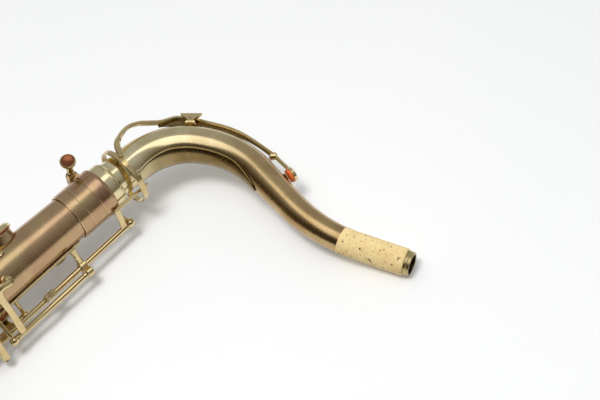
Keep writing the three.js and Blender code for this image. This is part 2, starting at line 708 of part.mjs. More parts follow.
function makeSaddle() {
  const { point, ahead, side, out } = onNeck(saddle.along, 0, gap);
  const middlePoint = along(point, out, saddle.thickness / 2);
  const [start, end] = [-1, 1].map((way) => along(middlePoint, ahead, (way * saddle.length) / 2));
  const base = bar(start, end, saddle.width, saddle.thickness, out);
  const pivot = onNeck(saddle.along, 0, saddle.height).point;
  const ears = [-1, 1].map((way) => {
    const inner = along(pivot, side, way * (saddle.earWidth + gap));
    const outer = along(inner, side, way * saddle.ear);
    const middle = along(inner, side, (way * saddle.ear) / 2);
    const foot = along(middle, out, -saddle.height + gap + saddle.thickness / 2);
    return join(rod(inner, outer, hinge.postRadius), bar(foot, middle, saddle.ear, saddle.earWidth, ahead));
  });
  return mesh('neck_saddle', join(base, ears), brass);
}

function makeNeckOctaveKey() {
  const pivot = onNeck(saddle.along, 0, saddle.height);
  const tube = [-1, 1].map((way) => along(pivot.point, pivot.side, way * saddle.earWidth));
  const centre = radial(loop.offsetTurn).multiplyScalar(loop.offset).setX(loop.rise - loop.width / 2);
  const half = loop.thickness / 2;
  const band = ring(centre, upward, loop.radius + half, loop.radius - half, loop.width, facets.ring);
  const strapEnd = centre.clone().setX(loop.rise).add(radial(loop.strapTurn).multiplyScalar(loop.radius));
  const over = [
    [saddle.along, 0, saddle.height],
    [strap.crest, 0, strap.height],
    [strap.shoulder, strap.shoulderRoll, strap.height],
    [strap.end, strap.endRoll, strap.endHeight],
  ].map(([distance, roll, height]) => onNeck(distance, roll, height));
  const strapBars = over.map(({ point, out }, i) => {
    const next = over[i + 1]?.point ?? strapEnd;
    return bar(point, next, strap.width, strap.thickness, out);
  });
  const padHeight = octavePad.thickness + octavePad.cup;
  const spots = [
    [0, saddle.height],
    [longArm.bendShare, longArm.bendHeight],
    [longArm.endShare, longArm.endHeight],
    [1, pip.height + padHeight],
  ];
  const reach = spots.map(([share, height]) =>
    onNeck(saddle.along + share * (pip.along - saddle.along), 0, height));
  const widths = [longArm.width, longArm.width, octavePad.arm];
  const armBars = widths.map((width, i) =>
    bar(reach[i].point, reach[i + 1].point, width, longArm.thickness, reach[i].out));
  const pad = onNeck(pip.along, 0, gap + pip.height + gap);
  const cup = standing([[0, 0], [0, octavePad.radius], [padHeight, octavePad.radius], [padHeight, 0]],
    facets.cup, pad.point, pad.out);
  const pieces = [band, strapBars, armBars, cup];
  return hinged('neck_octave_key', tube[0], tube[1], pieces, { travel: octavePad.open });
}

// Keys

// A key drawn closed, then swung to its rest on its hinge line; angles are in degrees
function hinged(name, lower, upper, pieces, { rest = 0, travel }) {
  const seatMatrix = frame(lower, upper.clone().sub(lower), anyNormal(upper.clone().sub(lower)));
  const solid = join(rod(lower, upper, hinge.radius), ...pieces);
  const key = mesh(name, toGeometry(solid).applyMatrix4(seatMatrix.clone().invert()), brass);
  key.rotation.x = rest * degree;
  key.userData = { travel };
  const seat = new THREE.Group();
  seat.applyMatrix4(seatMatrix);
  seat.add(key);
  return seat;
}

function cupHeight() {
  return gap + cupShape.padStand + cupShape.wall + cupShape.dome;
}

function cupTop(place) {
  return along(place.point, place.out, place.height + cupHeight() + arm.thickness / 2 - arm.sink);
}

function keyCup(place, holeRadius) {
  const { margin, padInset, padStand, wall, dome, shoulderShare, liftShare } = cupShape;
  const radius = holeRadius + chimney.wall + margin;
  const top = padStand + wall;
  const profile = [
    [0, 0], [0, radius - padInset], [padStand, radius - padInset], [padStand, radius], [top, radius],
    [top + dome * liftShare, radius * shoulderShare], [top + dome, 0],
  ];
  return standing(profile, facets.cup, along(place.point, place.out, place.height + gap), place.out);
}

// A finger plate: round where the touch gives a radius, otherwise a long oval
function touchPlate(point, out, ahead, { round, long, wide }) {
  const thickness = round ? pearl.thickness : paddle.thickness;
  const plate = turned([[0, 0], [0, 1], [thickness, 1], [thickness, 0]], facets.cup);
  plate.scale(1, round ?? wide / 2, round ?? long / 2);
  return plate.applyMatrix4(frame(point, out, ahead));
}

function lineAt(line, drop) {
  return onBody(drop, line.turn, line.height);
}

function armDrops({ hole, elbow = 0, touch }) {
  const cupArm = bodyHoles[hole].drop + elbow;
  return touch ? [cupArm, touch.drop] : [cupArm];
}

// Shares a hinge line among its keys: a tube ends half way to the next key's nearest arm, or at the
// post that stands there, and a post closes each end of the line
function shareLine(line) {
  const reaches = line.keys.map((name) => armDrops(keys[name]));
  const half = hinge.postLength / 2;
  const first = Math.min(...reaches[0]) - hinge.end;
  const last = Math.max(...reaches.at(-1)) + hinge.end;
  const posts = [first - gap - half, last + gap + half];
  const tubes = {};
  let upper = first;
  line.keys.forEach((name, i) => {
    const next = reaches[i + 1];
    const boundary = next ? (Math.max(...reaches[i]) + Math.min(...next)) / 2 : last;
    const standsHere = next && keys[name].post;
    const room = next ? (standsHere ? half + gap : gap / 2) : 0;
    tubes[name] = { upper, lower: boundary - room };
    if (standsHere) posts.push(boundary);
    upper = boundary + room;
  });
  return { tubes, posts };
}

function makeLineKeys(line) {
  const { tubes } = shareLine(line);
  return line.keys.map((name) => {
    const key = keys[name];
    const hole = bodyHoles[key.hole];
    const place = bodyPlace(hole);
    const tube = tubes[name];
    const top = cupTop(place);
    const pieces = [keyCup(place, hole.radius)];
    if (key.elbow) {
      const elbow = along(top, upward, -key.elbow);
      pieces.push(bar(top, elbow, arm.width, arm.thickness, place.out));
      pieces.push(bar(lineAt(line, hole.drop + key.elbow), elbow, arm.width, arm.thickness, place.out));
    } else {
      pieces.push(bar(lineAt(line, hole.drop), top, arm.width, arm.thickness, place.out));
    }
    if (key.touch) {
      const out = radial(key.touch.turn);
      const point = onBody(key.touch.drop, key.touch.turn, key.touch.height);
      const armEnd = along(point, out, arm.thickness / 2);
      pieces.push(touchPlate(point, out, upward, key.touch));
      pieces.push(bar(lineAt(line, key.touch.drop), armEnd, arm.width, arm.thickness, out));
    }
    const opening = key.open * Math.sign(line.turn - hole.turn);
    const swing = key.standsOpen ? { rest: opening, travel: -opening } : { travel: opening };
    return hinged(name, lineAt(line, tube.lower), lineAt(line, tube.upper), pieces, swing);
  });
}

function postsOf(line) {
  const foot = gap + rib.thickness / 2;
  return shareLine(line).posts.map((drop) => post(onBody(drop, line.footTurn, foot), lineAt(line, drop)));
}

// A strip soldered along the body with the posts that stand on it
function makeRib(name, line) {
  const { posts } = shareLine(line);
  const [from, to] = [Math.min(...posts) - rib.end, Math.max(...posts) + rib.end];
  const height = gap + rib.thickness / 2;
  const strip = bar(onBody(from, line.footTurn, height), onBody(to, line.footTurn, height), rib.width,
    rib.thickness, radial(line.footTurn));
  return mesh(name, join(strip, postsOf(line)), brass);
}

// Short hinge lines on the body that stand on posts of their own
const { upper: upperLine, lower: lowerLine, ...shortLines } = lines;
const fusedLines = Object.values(shortLines);

function leverPostDrops({ top, bottom }) {
  const out = gap + hinge.postLength / 2;
  return [top - out, bottom + out];
}

// Octave mechanism

function makeRiser() {
  const axis = riserLine(riserPin.drop);
  const crankEnd = radial(riserPin.turn).multiplyScalar(riserPin.reach).setX(axis.x);
  const pinFoot = along(crankEnd, upward, -arm.width / 2);
  const pinTop = crankEnd.clone().setX(riserPin.top);
  const tail = onBody(riser.tailDrop, riser.tailTurn, riser.tailHeight);
  const face = radial(octaveBlock.faceTurn);
  const blockCentre = along(riserLine(octaveBlock.drop), face, octaveBlock.shift);
  const block = box(octaveBlock.length, octaveBlock.width, octaveBlock.depth)
    .applyMatrix4(frame(blockCentre, upward, face));
  return hinged('octave_riser', riserLine(riser.bottom), riserLine(riser.top), [
    bar(axis, crankEnd, arm.width, riserPin.crank, radial(riserPin.crankTurn)),
    rod(pinFoot, pinTop, riserPin.radius),
    bar(riserLine(riser.tailDrop), tail, arm.width, arm.thickness, radial(riser.turn)),
    block,
  ], { travel: riserPin.open });
}

function makeOctaveRib() {
  const height = gap + rib.thickness / 2;
  const foot = (drop) => onBody(drop, octaveRib.turn, height);
  const strip = bar(foot(octaveRib.top), foot(octaveRib.bottom), rib.width, rib.thickness,
    radial(octaveRib.turn));
  const ventLine = (drop) => onBody(drop, ventKey.turn, ventKey.height);
  const half = hinge.postLength / 2;
  const bearingDrop = ventKey.top - gap - half;
  const through = (centre, reach, radius) =>
    rod(along(centre, upward, -reach), along(centre, upward, reach), radius);
  const centre = riserLine(bearingDrop);
  const bearing = cut(
    join(through(centre, half, octaveRib.bearing),
      rod(foot(bearingDrop), ventLine(bearingDrop), octaveRib.stem)),
    through(centre, half + overrun, hinge.radius + gap));
  const [ventEnd, riserEnd] = [ventKey, riser].map(({ bottom }) => bottom + gap + half);
  const lower = post(foot(ventEnd), ventLine(ventEnd));
  const end = post(foot(riserEnd), riserLine(riserEnd));
  const ventHead = through(ventLine(bearingDrop), half, hinge.postRadius);
  return mesh('octave_rib', join(strip, bearing, ventHead, lower, end), brass);
}

function makeVentKey() {
  const line = (drop) => onBody(drop, ventKey.turn, ventKey.height);
  const out = radial(vent.turn);
  const seat = onBody(vent.drop, vent.turn, vent.height + gap);
  const cupLength = ventKey.endHeight - vent.height - gap;
  const armEnd = onBody(ventKey.armDrop, vent.turn, ventKey.endHeight);
  return hinged('body_octave_key', line(ventKey.bottom), line(ventKey.top), [
    bar(line(ventKey.armDrop), armEnd, arm.width, arm.thickness, out),
    bar(armEnd, onBody(vent.drop, vent.turn, ventKey.endHeight), arm.width, arm.thickness, out),
    rod(seat, along(seat, out, cupLength), ventKey.cup, facets.cup),
  ], { travel: ventKey.open });
}

function makeThumbLever() {
  const touch = onBody(thumbLever.touchDrop, thumbLever.touchTurn, thumbLever.touchHeight);
  const out = radial(thumbLever.touchTurn);
  const tail = onBody(riser.tailDrop, thumbLever.tailTurn, thumbLever.tailHeight);
  const line = (drop) => lineAt(thumbLever, drop);
  return hinged('octave_thumb_lever', line(thumbLever.bottom), line(thumbLever.top), [
    bar(line(thumbLever.touchDrop), touch, arm.width, arm.thickness, out),
    touchPlate(touch, out, upward, thumbLever),
    bar(line(riser.tailDrop), tail, arm.width, arm.thickness, radial(riser.turn)),
  ], { travel: thumbLever.open });
}

// Low keys on the bell and the bow

function awayPoint({ front, left: side }, drop) {
  return vector(-drop, front, side);
}

// Posts that stand on a tube straight behind a hinge line, cut clear of the bore
function standPosts(key, centreAt, bore) {
  const out = gap + hinge.postLength / 2;
  return [key.upper - out, key.lower + out].map((drop) => {
    const head = awayPoint(key, drop);
    return cut(post(centreAt(head), head), bore);
  });
}

// Nearest point of the bell's axis
function bellCentre(point) {
  const up = point.clone().sub(bellFoot.point).dot(bellAxis);
  return along(bellFoot.point, bellAxis, up);
}

// Nearest point of the bow's centre line
function bowCentre(point) {
  const centre = vector(bowLine.start.x - bow.straight, bow.bend, 0);
  const out = point.clone().sub(centre).setZ(0).normalize();
  return along(centre, out, bow.bend);
}

// A low key opens the way that lifts its cup
function lowKey(name, key, place, radius, extra) {
  const top = cupTop(place);
  const hingeThere = awayPoint(key, -top.x);
  const lift = upward.clone().cross(top.clone().sub(hingeThere)).dot(place.out);
  const opening = key.open * Math.sign(lift);
  const swing = key.standsOpen ? { rest: opening, travel: -opening } : { travel: opening };
  return hinged(name, awayPoint(key, key.lower), awayPoint(key, key.upper), [
    keyCup(place, radius),
    bar(hingeThere, top, arm.width, arm.thickness, place.out),
    ...extra,
  ], swing);
}

function makeBellKeys() {
  const tableSpot = ({ drop, front }) => vector(-drop, front, table.left);
  const csTouch = tableSpot(spatulas.low_cs_key);
  const cs = bellKeys.low_cs_key;
  const made = [lowKey('low_cs_key', cs, bellPlace(bellHoles.low_cs), bellHoles.low_cs.radius, [
    bar(awayPoint(cs, spatulas.low_cs_key.drop), csTouch, arm.width, arm.thickness, left),
    touchPlate(csTouch, left, upward, spatulas.low_cs_key),
  ])];
  Object.entries(tails).forEach(([name, tailEnd]) => {
    const key = bellKeys[name];
    const hole = bellHoles[key.hole];
    const lever = `${key.hole}_lever`;
    const spot = spatulas[lever];
    const [tailFoot, tailTop] = [key, tailEnd].map((at) => awayPoint(at, spot.drop));
    const tail = bar(tailFoot, tailTop, arm.width, arm.thickness, forward);
    made.push(lowKey(name, key, bellPlace(hole), hole.radius, [tail]));
    const touch = tableSpot(spot);
    const half = linkage.tube / 2;
    const pivot = (drop) => onBody(drop, table.turn, table.height);
    const shoulder = vector(-spot.drop, linkage.shoulderFront, linkage.shoulderLeft);
    const end = vector(-spot.drop, linkage.endFront, linkage.endLeft);
    made.push(hinged(lever, pivot(spot.drop + half), pivot(spot.drop - half), [
      bar(pivot(spot.drop), touch, arm.width, arm.thickness, left),
      touchPlate(touch, left, upward, spot),
      bar(touch, shoulder, arm.width, arm.thickness, left),
      bar(shoulder, end, arm.width, arm.thickness, forward),
    ], { travel: -spot.open }));
  });
  return made;
}

function makeBowKeys() {
  return Object.entries(bowKeys).map(([name, key]) => {
    const hole = bowHoles[key.hole];
    const touch = bowTouches[name];
    const spot = vector(-touch.drop, touch.front, key.left - touch.out);
    const out = left.clone().negate();
    return lowKey(name, key, bowPlace(hole), hole.radius, [
      bar(awayPoint(key, touch.drop), spot, arm.width, arm.thickness, out),
      touchPlate(spot, out, upward, touch),
    ]);
  });
}

// Fixed fittings

function makeFerrule(name, distance, radius) {
  const inner = radius + ferrule.play;
  const { point, ahead } = bowLine.at(distance - ferrule.length / 2);
  const sleeve = ring(point, ahead, inner + ferrule.wall, inner, ferrule.length, facets.body);
  return mesh(name, join(sleeve), bronze);
}

// A guard over a cup: legs that stand on the tube, and arms to a small plate that holds the felt
function makeGuard(name, place, radius, turns, tube) {
  const outer = radius + chimney.wall + cupShape.margin + guard.clear;
  const seat = frame(place.point, place.out, upward);
  const local = (turn, distance, height) =>
    vector(height, Math.cos(turn * degree) * distance, Math.sin(turn * degree) * distance).applyMatrix4(seat);
  const top = place.height + cupHeight() + arm.thickness + guard.room;
  const foot = -place.point.distanceTo(place.axis);
  const pieces = turns.flatMap((turn) => [
    rod(local(turn, outer, foot), local(turn, outer, top + guard.thickness / 2), guard.leg),
    bar(local(turn, outer + guard.leg, top), local(turn, 0, top), guard.width, guard.thickness, place.out),
  ]);
  const half = guard.thickness / 2;
  const plate = rod(local(0, 0, top - half), local(0, 0, top + half), guard.plate, facets.cup);
  return mesh(name, cut(join(plate, pieces), tube), brass);
}

function makeGuards() {
  const [bowAround, bellAround] = [bowSolid(gap), bellSolid(gap)];
  return Object.entries(guardTurns).map(([hole, turns]) => {
    const onBow = hole in bowHoles;
    const spot = (onBow ? bowHoles : bellHoles)[hole];
    const place = onBow ? bowPlace(spot) : bellPlace(spot);
    return makeGuard(`${hole}_guard`, place, spot.radius, turns, onBow ? bowAround : bellAround);
  });
}

// A ring between the body and the bell, with a foot on each
function makeBellBrace() {
  const centre = vector(-bellBrace.drop, bellBrace.front, bellBrace.left);
  const hoop = ring(along(centre, left, -bellBrace.width / 2), left, bellBrace.radius,
    bellBrace.radius - bellBrace.width, bellBrace.width, facets.cup);
  const bodyFoot = onBody(bellBrace.drop, bellBrace.bodyTurn, gap);
  const bellSide = bellCentre(centre);
  const bellOut = vector(0, bellBrace.front - bellSide.y, bellBrace.left).normalize();
  const bellUp = bellSide.clone().sub(bellFoot.point).length();
  const bellSpot = along(bellSide, bellOut, bellRadius(bellUp) + gap);
  const pad = (spot, out) => rod(spot, along(spot, out, bellBrace.footHeight), bellBrace.foot, facets.cup);
  const middle = bellBrace.radius - bellBrace.width / 2;
  const strut = (spot, way) => rod(spot, along(centre, forward, way * middle), bellBrace.strut);
  const bodyOut = radial(bellBrace.bodyTurn);
  return mesh('bell_brace', join(
    hoop,
    pad(bodyFoot, bodyOut),
    pad(bellSpot, bellOut),
    strut(along(bodyFoot, bodyOut, bellBrace.footHeight), -1),
    strut(along(bellSpot, bellOut, bellBrace.footHeight), 1),
  ), brass);
}

// A plate lengthwise on the back of the body, under a fitting
function backPlate({ drop, long, wide, plate }) {
  const end = (side) => onBody(drop + (side * long) / 2, backTurn, gap + plate / 2);
  return bar(end(-1), end(1), wide, plate, radial(backTurn));
}

function makeStrapRing() {
  const { drop, radius, hole, width, plate, sink } = strapRing;
  const eye = onBody(drop, backTurn, gap + plate + radius - sink);
  const band = ring(along(eye, left, -width / 2), left, radius, hole, width, facets.ring);
  return mesh('strap_ring', join(backPlate(strapRing), band), brass);
}

function makeThumbHook() {
  const { drop, plate, wide, rise, bend, tip: end, lap } = thumbHook;
  const foot = onBody(drop, backTurn, gap + plate / 2);
  const line = new BentLine(foot, radial(backTurn), upward.clone().negate(), [
    { straight: rise },
    { bend, turn: 90 },
    { straight: end },
  ]);
  const points = hookShares.map((share) => line.getPoint(share));
  const bars = points.slice(1).map((point, i) => {
    const way = point.clone().sub(points[i]).normalize();
    return bar(along(points[i], way, -lap), point, wide, plate, left.clone().cross(way));
  });
  return mesh('thumb_hook', join(backPlate(thumbHook), bars), brass);
}

function makeThumbRest() {
  const { drop, radius, height, crownShare } = thumbRest;
  const profile = [[0, 0], [0, radius], [height / 2, radius], [height, radius * crownShare], [height, 0]];
  const spot = onBody(drop, backTurn, gap);
  return mesh('thumb_rest', join(standing(profile, facets.cup, spot, radial(backTurn))), brass);
}

const instrument = new THREE.Group();
instrument.add(
  makeBodyTube(),
  makeBow(),
  makeBell(),
  makeReceiver(),
  makeClampScrew(),
  makeNeckTube(),
  makeTenon(),
  neckSleeve('neck_cork', neckLine.reach - tip.length - cork.length, neckLine.reach - tip.length - gap,
    () => cork.radius, 3, corkStuff),
  neckSleeve('neck_tip', neckLine.reach - tip.length, neckLine.reach, () => tip.radius, 1, brass),
  makeNeckBrace(),
  makePip(),
  makeSaddle(),
  makeNeckOctaveKey(),
  makeRib('upper_stack_rib', upperLine),
  makeRib('lower_stack_rib', lowerLine),
  makeOctaveRib(),
  makeRiser(),
  makeVentKey(),
  makeThumbLever(),
  ...makeBellKeys(),
  ...makeBowKeys(),
  makeStrapRing(),
  makeThumbHook(),
  makeThumbRest(),
  makeBellBrace(),
  ...makeGuards(),
  makeFerrule('body_bow_ferrule', 0, body.bottomRadius),
  makeFerrule('bow_bell_ferrule', bowLine.reach, bow.endRadius),
  ...Object.values(lines).flatMap(makeLineKeys),
);

// Laid down on its right side, with the middle of its footprint at the origin
const saxophone = new THREE.Group();
instrument.rotation.set(lie.roll * degree, lie.pitch * degree, lie.yaw * degree, 'ZYX');
saxophone.add(instrument);
const extent = new THREE.Box3().setFromObject(saxophone, true);
const middle = extent.getCenter(vector());
instrument.position.set(-middle.x, -middle.y, -extent.min.z);

export default saxophone;
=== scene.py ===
import json
from math import atan2, copysign, cos, pi, radians, sin, sqrt
from types import SimpleNamespace as Sizes

import bmesh
import bpy
from mathutils import Matrix, Vector


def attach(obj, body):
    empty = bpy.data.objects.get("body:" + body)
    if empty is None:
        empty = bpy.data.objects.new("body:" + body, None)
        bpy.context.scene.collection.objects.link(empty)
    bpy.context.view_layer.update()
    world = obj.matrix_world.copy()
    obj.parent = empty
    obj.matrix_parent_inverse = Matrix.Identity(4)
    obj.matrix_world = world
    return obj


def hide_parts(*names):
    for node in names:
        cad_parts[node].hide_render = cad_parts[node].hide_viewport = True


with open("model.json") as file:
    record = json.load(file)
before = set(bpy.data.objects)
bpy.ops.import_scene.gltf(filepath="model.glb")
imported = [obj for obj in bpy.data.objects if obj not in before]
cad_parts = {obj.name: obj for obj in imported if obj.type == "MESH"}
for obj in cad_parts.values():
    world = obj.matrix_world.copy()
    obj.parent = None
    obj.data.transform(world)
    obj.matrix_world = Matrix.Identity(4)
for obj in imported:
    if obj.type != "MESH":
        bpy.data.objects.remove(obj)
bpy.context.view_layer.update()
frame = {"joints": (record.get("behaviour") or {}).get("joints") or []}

# Lengths are in millimetres in the instrument's own frame until a piece is made, as in the CAD source.
# X runs up the body axis to the neck, Y to the front and Z to the player's left. A drop is a distance
# down the body from the receiver's rim, and a turn is an angle round the body from front to left.
MM = 0.001
UP, FRONT, LEFT = Vector((1, 0, 0)), Vector((0, 1, 0)), Vector((0, 0, 1))

joints = {joint["name"]: joint for joint in frame["joints"]}
X_AXIS = Vector(joints["neck_swivel"]["axis"]).normalized()
Z_AXIS = Vector(joints["receiver_screw_turn"]["axis"]).normalized()
PLACE = Matrix((X_AXIS, Z_AXIS.cross(X_AXIS), Z_AXIS)).transposed().to_4x4()
PLACE.translation = Vector(joints["neck_swivel"]["pos_m"])
INSTRUMENT = PLACE @ Matrix.Scale(MM, 4)

# Shapes


class Shape:
    """Points and faces that grow into one mesh"""

    def __init__(self, points=(), faces=()):
        self.points, self.faces = list(points), list(faces)

    def join(self, *others):
        for other in others:
            first = len(self.points)
            self.points += other.points
            self.faces += [tuple(first + corner for corner in face) for face in other.faces]
        return self

    def moved(self, matrix):
        self.points = [matrix @ point for point in self.points]
        return self


def angles(count):
    return [2 * pi * k / count for k in range(count)]


def radial(turn):
    return Vector((0, cos(radians(turn)), sin(radians(turn))))


def axes_at(origin, x_axis, hint):
    x = x_axis.normalized()
    z = (hint - x * hint.dot(x)).normalized()
    matrix = Matrix((x, z.cross(x), z)).transposed().to_4x4()
    matrix.translation = origin
    return matrix


def skin(rings, loop=False):
    """A skin over rings of points, closed flat at its ends or into a loop; a ring may be one point"""
    points, faces, starts = [], [], []
    for ring in rings:
        starts.append(len(points))
        points += ring
    for i in range(len(rings) if loop else len(rings) - 1):
        j = (i + 1) % len(rings)
        a, b, most = starts[i], starts[j], max(len(rings[i]), len(rings[j]))
        for k in range(most):
            n = (k + 1) % most
            if len(rings[i]) == 1:
                faces.append((a, b + n, b + k))
            elif len(rings[j]) == 1:
                faces.append((a + k, a + n, b))
            else:
                faces.append((a + k, a + n, b + n, b + k))
    for ring, start in () if loop else ((rings[0], starts[0]), (rings[-1], starts[-1])):
        if len(ring) > 1:
            faces.append(tuple(range(start, start + len(ring))))
    return Shape(points, faces)


def turned(outline, sides=48, matrix=None):
    """Turned on the X axis from points (distance along, radius); ends that meet make a ring"""
    rings = []
    for along, radius in outline:
        around = angles(sides if radius > 1e-6 else 1)
        rings.append([Vector((along, radius * cos(a), radius * sin(a))) for a in around])
    loop = outline[0] == outline[-1]
    shape = skin(rings[:-1] if loop else rings, loop)
    return shape.moved(matrix) if matrix else shape


def standing(outline, foot, direction, sides=40):
    """Turned on a line from a foot"""
    side = UP if abs(direction.normalized().z) > 0.9 else LEFT
    return turned(outline, sides, axes_at(foot, direction, side))


def rod(start, end, radius, sides=20, edge=0.25):
    length = (end - start).length
    edge = min(edge, radius / 2, length / 3)
    foot = [(0, 0), (0, radius - edge), (edge, radius)]
    outline = foot + [(length - along, out) for along, out in foot[::-1]]
    return standing(outline, start, end - start, sides)


def ball(centre, radius, direction, sides, rows):
    outline = [(-radius * cos(pi * i / rows), radius * sin(pi * i / rows)) for i in range(rows + 1)]
    return standing(outline, centre, direction, sides)


def smooth_path(points, steps):
    """Points on a curve through the given ones"""
    if len(points) < 3:
        return [points[0].lerp(points[-1], i / steps) for i in range(steps + 1)]
    full = [points[0] * 2 - points[1], *points, points[-1] * 2 - points[-2]]
    made = []
    for a, b, c, d in zip(full, full[1:], full[2:], full[3:]):
        for t in (i / steps for i in range(steps)):
            linear, square, cube = c - a, a * 2 - b * 5 + c * 4 - d, b * 3 - a - c * 3 + d
            made.append(0.5 * (b * 2 + linear * t + square * t * t + cube * t ** 3))
    return made + [points[-1]]


def blend(values, share):
    """The value at a share of the way along a row of them"""
    place = share * (len(values) - 1)
    low = min(int(place), max(len(values) - 2, 0))
    return values[low] + (values[min(low + 1, len(values) - 1)] - values[low]) * (place - low)


STRIP = Sizes(edge=0.45, flat=0.4)


def sweep(points, normals, widths, thickness, crown=0.3, steps=8):
    """A strip with a crowned top and softened edges that follows the points"""
    path = smooth_path(points, steps)
    last = len(path) - 1
    rings = []
    for i, point in enumerate(path):
        seat = axes_at(point, path[min(i + 1, last)] - path[max(i - 1, 0)], blend(normals, i / last))
        w, t = blend(widths, i / last) / 2, thickness / 2
        edge, flat = min(w, t) * STRIP.edge, w * STRIP.flat
        right = [(w - edge, -t), (w, edge - t), (w, t - edge), (w - edge, t), (flat, t * (1 + crown))]
        section = right + [(-y, z) for y, z in right[::-1]]
        rings.append([seat @ Vector((0, y, z)) for y, z in section])
    return skin(rings)


def plate(outline, matrix, thickness, crown=0.5, edge=0.6, rows=4):
    """A plate on matrix's YZ plane with a rounded rim, its top bulging along X"""
    centre = sum((Vector(point) for point in outline), Vector((0, 0))) / len(outline)

    def ring(height, inset, share=1):
        made = []
        for out in (Vector(point) - centre for point in outline):
            flat = centre + out.normalized() * (out.length + inset) * share
            made.append(matrix @ Vector((height, *flat)))
        return made
    soft = edge * 0.3
    levels = [(0, -edge), (edge / 2, 0), (thickness - edge, 0), (thickness - soft, -soft), (thickness, -edge)]
    rings = [[matrix @ Vector((0, *centre))]] + [ring(*level) for level in levels]
    for share in (1 - i / rows for i in range(1, rows)):
        rings.append(ring(thickness + crown * (1 - share ** 2), -edge, share))
    return skin(rings + [[matrix @ Vector((thickness + crown, *centre))]])


def oval(long, wide, power=2.0):
    """A plate's outline, wide along Y and long along Z; a higher power makes it squarer"""
    return [(copysign(abs(cos(a)) ** (2 / power), cos(a)) * wide / 2,
             copysign(abs(sin(a)) ** (2 / power), sin(a)) * long / 2) for a in angles(40)]


def swing_about(lower, upper, angle):
    axis = (upper - lower).normalized()
    return Matrix.Translation(lower) @ Matrix.Rotation(radians(angle), 4, axis) @ Matrix.Translation(-lower)


# Making objects


def make(name, shape, material, body, sharp=40):
    mesh = bpy.data.meshes.new(name)
    mesh.from_pydata([INSTRUMENT @ point for point in shape.points], [], shape.faces)
    grown = bmesh.new()
    grown.from_mesh(mesh)
    bmesh.ops.recalc_face_normals(grown, faces=grown.faces)
    grown.to_mesh(mesh)
    grown.free()
    mesh.shade_smooth()
    mesh.set_sharp_from_angle(angle=radians(sharp))
    made = bpy.data.objects.new(name, mesh)
    bpy.context.scene.collection.objects.link(made)
    mesh.materials.append(MATERIALS[material])
    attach(made, body)
    return made


def carve(name, shape, cutters, material="bronze", body="horn"):
    """An object with cutters taken out of it, as a plain mesh"""
    made = make(name, shape, material, body)
    knife = make(f"{name}_cutter", Shape().join(*cutters), material, body)
    modifier = made.modifiers.new("holes", "BOOLEAN")
    modifier.operation, modifier.object, modifier.solver = "DIFFERENCE", knife, "EXACT"
    bpy.context.view_layer.update()
    baked = bpy.data.meshes.new_from_object(made.evaluated_get(bpy.context.evaluated_depsgraph_get()))
    made.modifiers.clear()
    made.data = baked
    baked.set_sharp_from_angle(angle=radians(30))
    bpy.data.objects.remove(knife)
    return made


class Part:
    """Shapes of one CAD node, made into one mesh for each material"""

    def __init__(self, node, body="horn", swing=None):
        self.node, self.body, self.swing, self.shapes = node, body, swing, {}

    def add(self, material, *shapes):
        self.shapes.setdefault(material, Shape()).join(*shapes)
        return self

    def brass(self, *shapes):
        return self.add("brass", *shapes)

    def build(self, sharp=40):
        for i, (material, shape) in enumerate(self.shapes.items()):
            if self.swing:
                shape.moved(self.swing)
            made = make(f"{self.node}_{material}", shape, material, self.body, sharp)
            if i == 0:
                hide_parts(self.node)


# Materials


